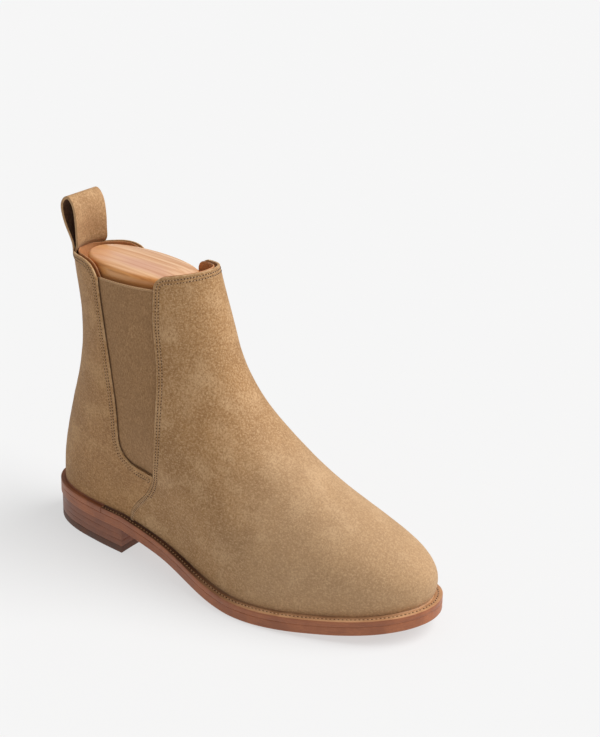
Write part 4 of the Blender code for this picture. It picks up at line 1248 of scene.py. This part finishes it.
for piece, made, slot, node in (
        (vamp, frontSuede, "suede_front", "vamp"),
        (quarterOuter, backSuede, "suede_back", "quarter_lateral"),
        (quarterInner, backSuede, "suede_back", "quarter_medial"),
        (vampLining, liningLeather, "lining", "vamp_lining"),
        (quarterLining, liningLeather, "lining", "quarter_lining"),
        (goreLateral, elasticKnit, "elastic", "gore_lateral"),
        (goreMedial, elasticKnit, "elastic", "gore_medial"),
        (bindingOuter, tapeWeave, "binding", "gore_binding_lateral"),
        (bindingInner, tapeWeave, "binding", "gore_binding_medial"),
        (outsole, soleLeather, "sole_leather", "outsole"),
        (weltPiece, weltLeather, "welt_leather", "welt"),
        (randPiece, soleLeather, "heel_leather", "heel_rand"),
        (topPiece, topPieceRubber, "top_piece", "heel_top_piece"),
        *((lift, heelLeather, "heel_leather", f"heel_lift_{number}")
          for number, lift in enumerate(lifts, 1))):
    finish(piece, made, slot, [node])
finish(treeBlock, cedar, "cedar", ["boot_tree_block"], "boot_tree")
weltPiece.data.materials.append(soleLeather)     # its side is burnished with the sole
profileSize = len(weltProfile(welt["groove"]))
for face in weltPiece.data.polygons:
    lowest = min(corner % profileSize for corner in face.vertices)
    if lowest < welt["topFrom"] - 1 and len(face.vertices) == 4:
        face.material_index = 1

pullLoop.data.materials.clear()
pullLoop.data.materials.append(loopSuede)
pullLoop.data.materials.append(loopInsideDark)
# the strap's inner faces take the darker brown suede
inward = range(strap["across"] + 3, 2 * strap["across"] + 2)
around = loopRings.shape[1]
for face in pullLoop.data.polygons[:(strap["along"] - 1) * around]:
    if face.index % around in inward:
        face.material_index = 1
hingePoint = toWorld((21.9, 0, 199.4))
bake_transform(pullLoop)
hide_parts("pull_loop", "pull_loop_tab")

carried = {"toe_puff": stiffenerBoard, "heel_counter": stiffenerBoard, "cork_filler": corkPaste,
           "insole": insoleLeather, "sock_liner": sockLeather, "shank": shankSteel}
carried.update({f"heel_nail_{number}": nailBrass for number in range(1, 6)})
for name, made in carried.items():
    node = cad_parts[name]
    for slot in node.material_slots:
        slot.material = made

# rows of stitching along every seam
bothSides = (True, True, True)
vampRows = [rowLine(vampGrid, row, vampRelief, -0.15 - 0.12, bothSides,
                    lambda p: p[:, 2] > 50) for row in suedeDepth["rows"]]
seamRows = [rowLine(vampGrid, 2.3, vampRelief, -0.15 - 0.12, (False, True, True),
                    lambda p: (p[:, 2] < 50) & (p[:, 2] > 26.5))]
quarterRows = []
for grid, relief, edges in ((quarterGrid, outerRelief, (True, False, True)),
                            (otherSide(quarterGrid), innerRelief, (True, True, False))):
    quarterRows += [rowLine(grid, row, relief, 0.1 - 0.12, edges, lambda p: p[:, 2] > 62.6)
                    for row in suedeDepth["rows"]]
stitches = [stitchLines("suedeStitches", vampRows + quarterRows, "suede", suedeThread,
                        suedeHoleShade),
            stitchLines("seamStitches", seamRows, "bars", suedeThread, suedeHoleShade)]

seamLine = inset(outline, beside(0)(outline[:, 0]))[
    np.linspace(weltFirst, weltLast, 500).round().astype(int) % len(outline)]
slope = (tread(seamLine[:, 0] + 0.5) - tread(seamLine[:, 0] - 0.5))
weltRow = (np.c_[seamLine, tread(seamLine[:, 0]) + weltTop - welt["groove"] + 0.26],
           np.c_[-slope, slope * 0, np.ones(len(slope))])
stitches.append(stitchLines("weltStitches", [weltRow], "welt", weltThread, weltHoleShade))
for piece, slot in zip(stitches, ("suede_front", "suede_front", "welt_leather")):
    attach(piece, "boot")

# studio: a pale floor, soft light from the front right, the camera
print("studio")
studio = {"floor": 0.285, "glow": 0.58, "world": 0.36, "sun": 3.3, "sunSpread": 50.0,
          "sunFrom": (0.52, 0.32, 0.79),
          "camera": (0.61632, -0.79228, 0.57265), "target": (-0.04233, 0.12943, 0.090),
          "roll": 1.59, "lens": 84.11}

floorMesh = bpy.data.meshes.new("studioFloor")
reach = 6.0
floorMesh.from_pydata([(-reach, -reach, 0), (reach, -reach, 0), (reach, reach, 0),
                       (-reach, reach, 0)], [], [(0, 1, 2, 3)])
floor = bpy.data.objects.new("studioFloor", floorMesh)
bpy.context.scene.collection.objects.link(floor)
made, tree, shader, vector = newMaterial("studioFloorPaint", Specular_IOR_Level=0.1,
                                         Emission_Color=tone(1.0, 1.0, 1.0),
                                         Emission_Strength=studio["glow"])
paper = noiseOf(tree, vector, 7.0, 2, 0.5)
level = studio["floor"]
tree.links.new(blended(tree, paper, tone(level * 0.995, level * 0.995, level),
                       tone(level, level, level)), shader.inputs["Base Color"])
tree.links.new(between(tree, paper, 0.3, 0.7, 0.85, 0.95), shader.inputs["Roughness"])
floorMesh.materials.append(made)

world = bpy.data.worlds.new("studioLight")
world.use_nodes = True
world.node_tree.nodes["Background"].inputs["Color"].default_value = tone(1.0, 0.995, 0.985)
world.node_tree.nodes["Background"].inputs["Strength"].default_value = studio["world"]
bpy.context.scene.world = world
sun = bpy.data.lights.new("softWindow", "SUN")
sun.energy, sun.angle = studio["sun"], math.radians(studio["sunSpread"])
window = bpy.data.objects.new("softWindow", sun)
window.rotation_euler = Vector(studio["sunFrom"]).to_track_quat("Z", "Y").to_euler()
bpy.context.scene.collection.objects.link(window)

camera = bpy.data.objects.new("camera", bpy.data.cameras.new("camera"))
bpy.context.scene.collection.objects.link(camera)
spot = Vector(studio["camera"])
forward = (Vector(studio["target"]) - spot).normalized()
sideways = forward.cross(Vector((0, 0, 1))).normalized()
turned = Matrix.Rotation(-math.radians(studio["roll"]), 3, forward)
axes = Matrix((turned @ sideways, turned @ sideways.cross(forward), -forward)).transposed()
camera.matrix_world = Matrix.Translation(spot) @ axes.to_4x4()
camera.data.lens, camera.data.sensor_width = studio["lens"], 36.0
camera.data.clip_start, camera.data.clip_end = 0.05, 30.0
bpy.context.scene.camera = camera
bpy.context.scene.view_settings.view_transform = "Standard"

bpy.context.view_layer.update()
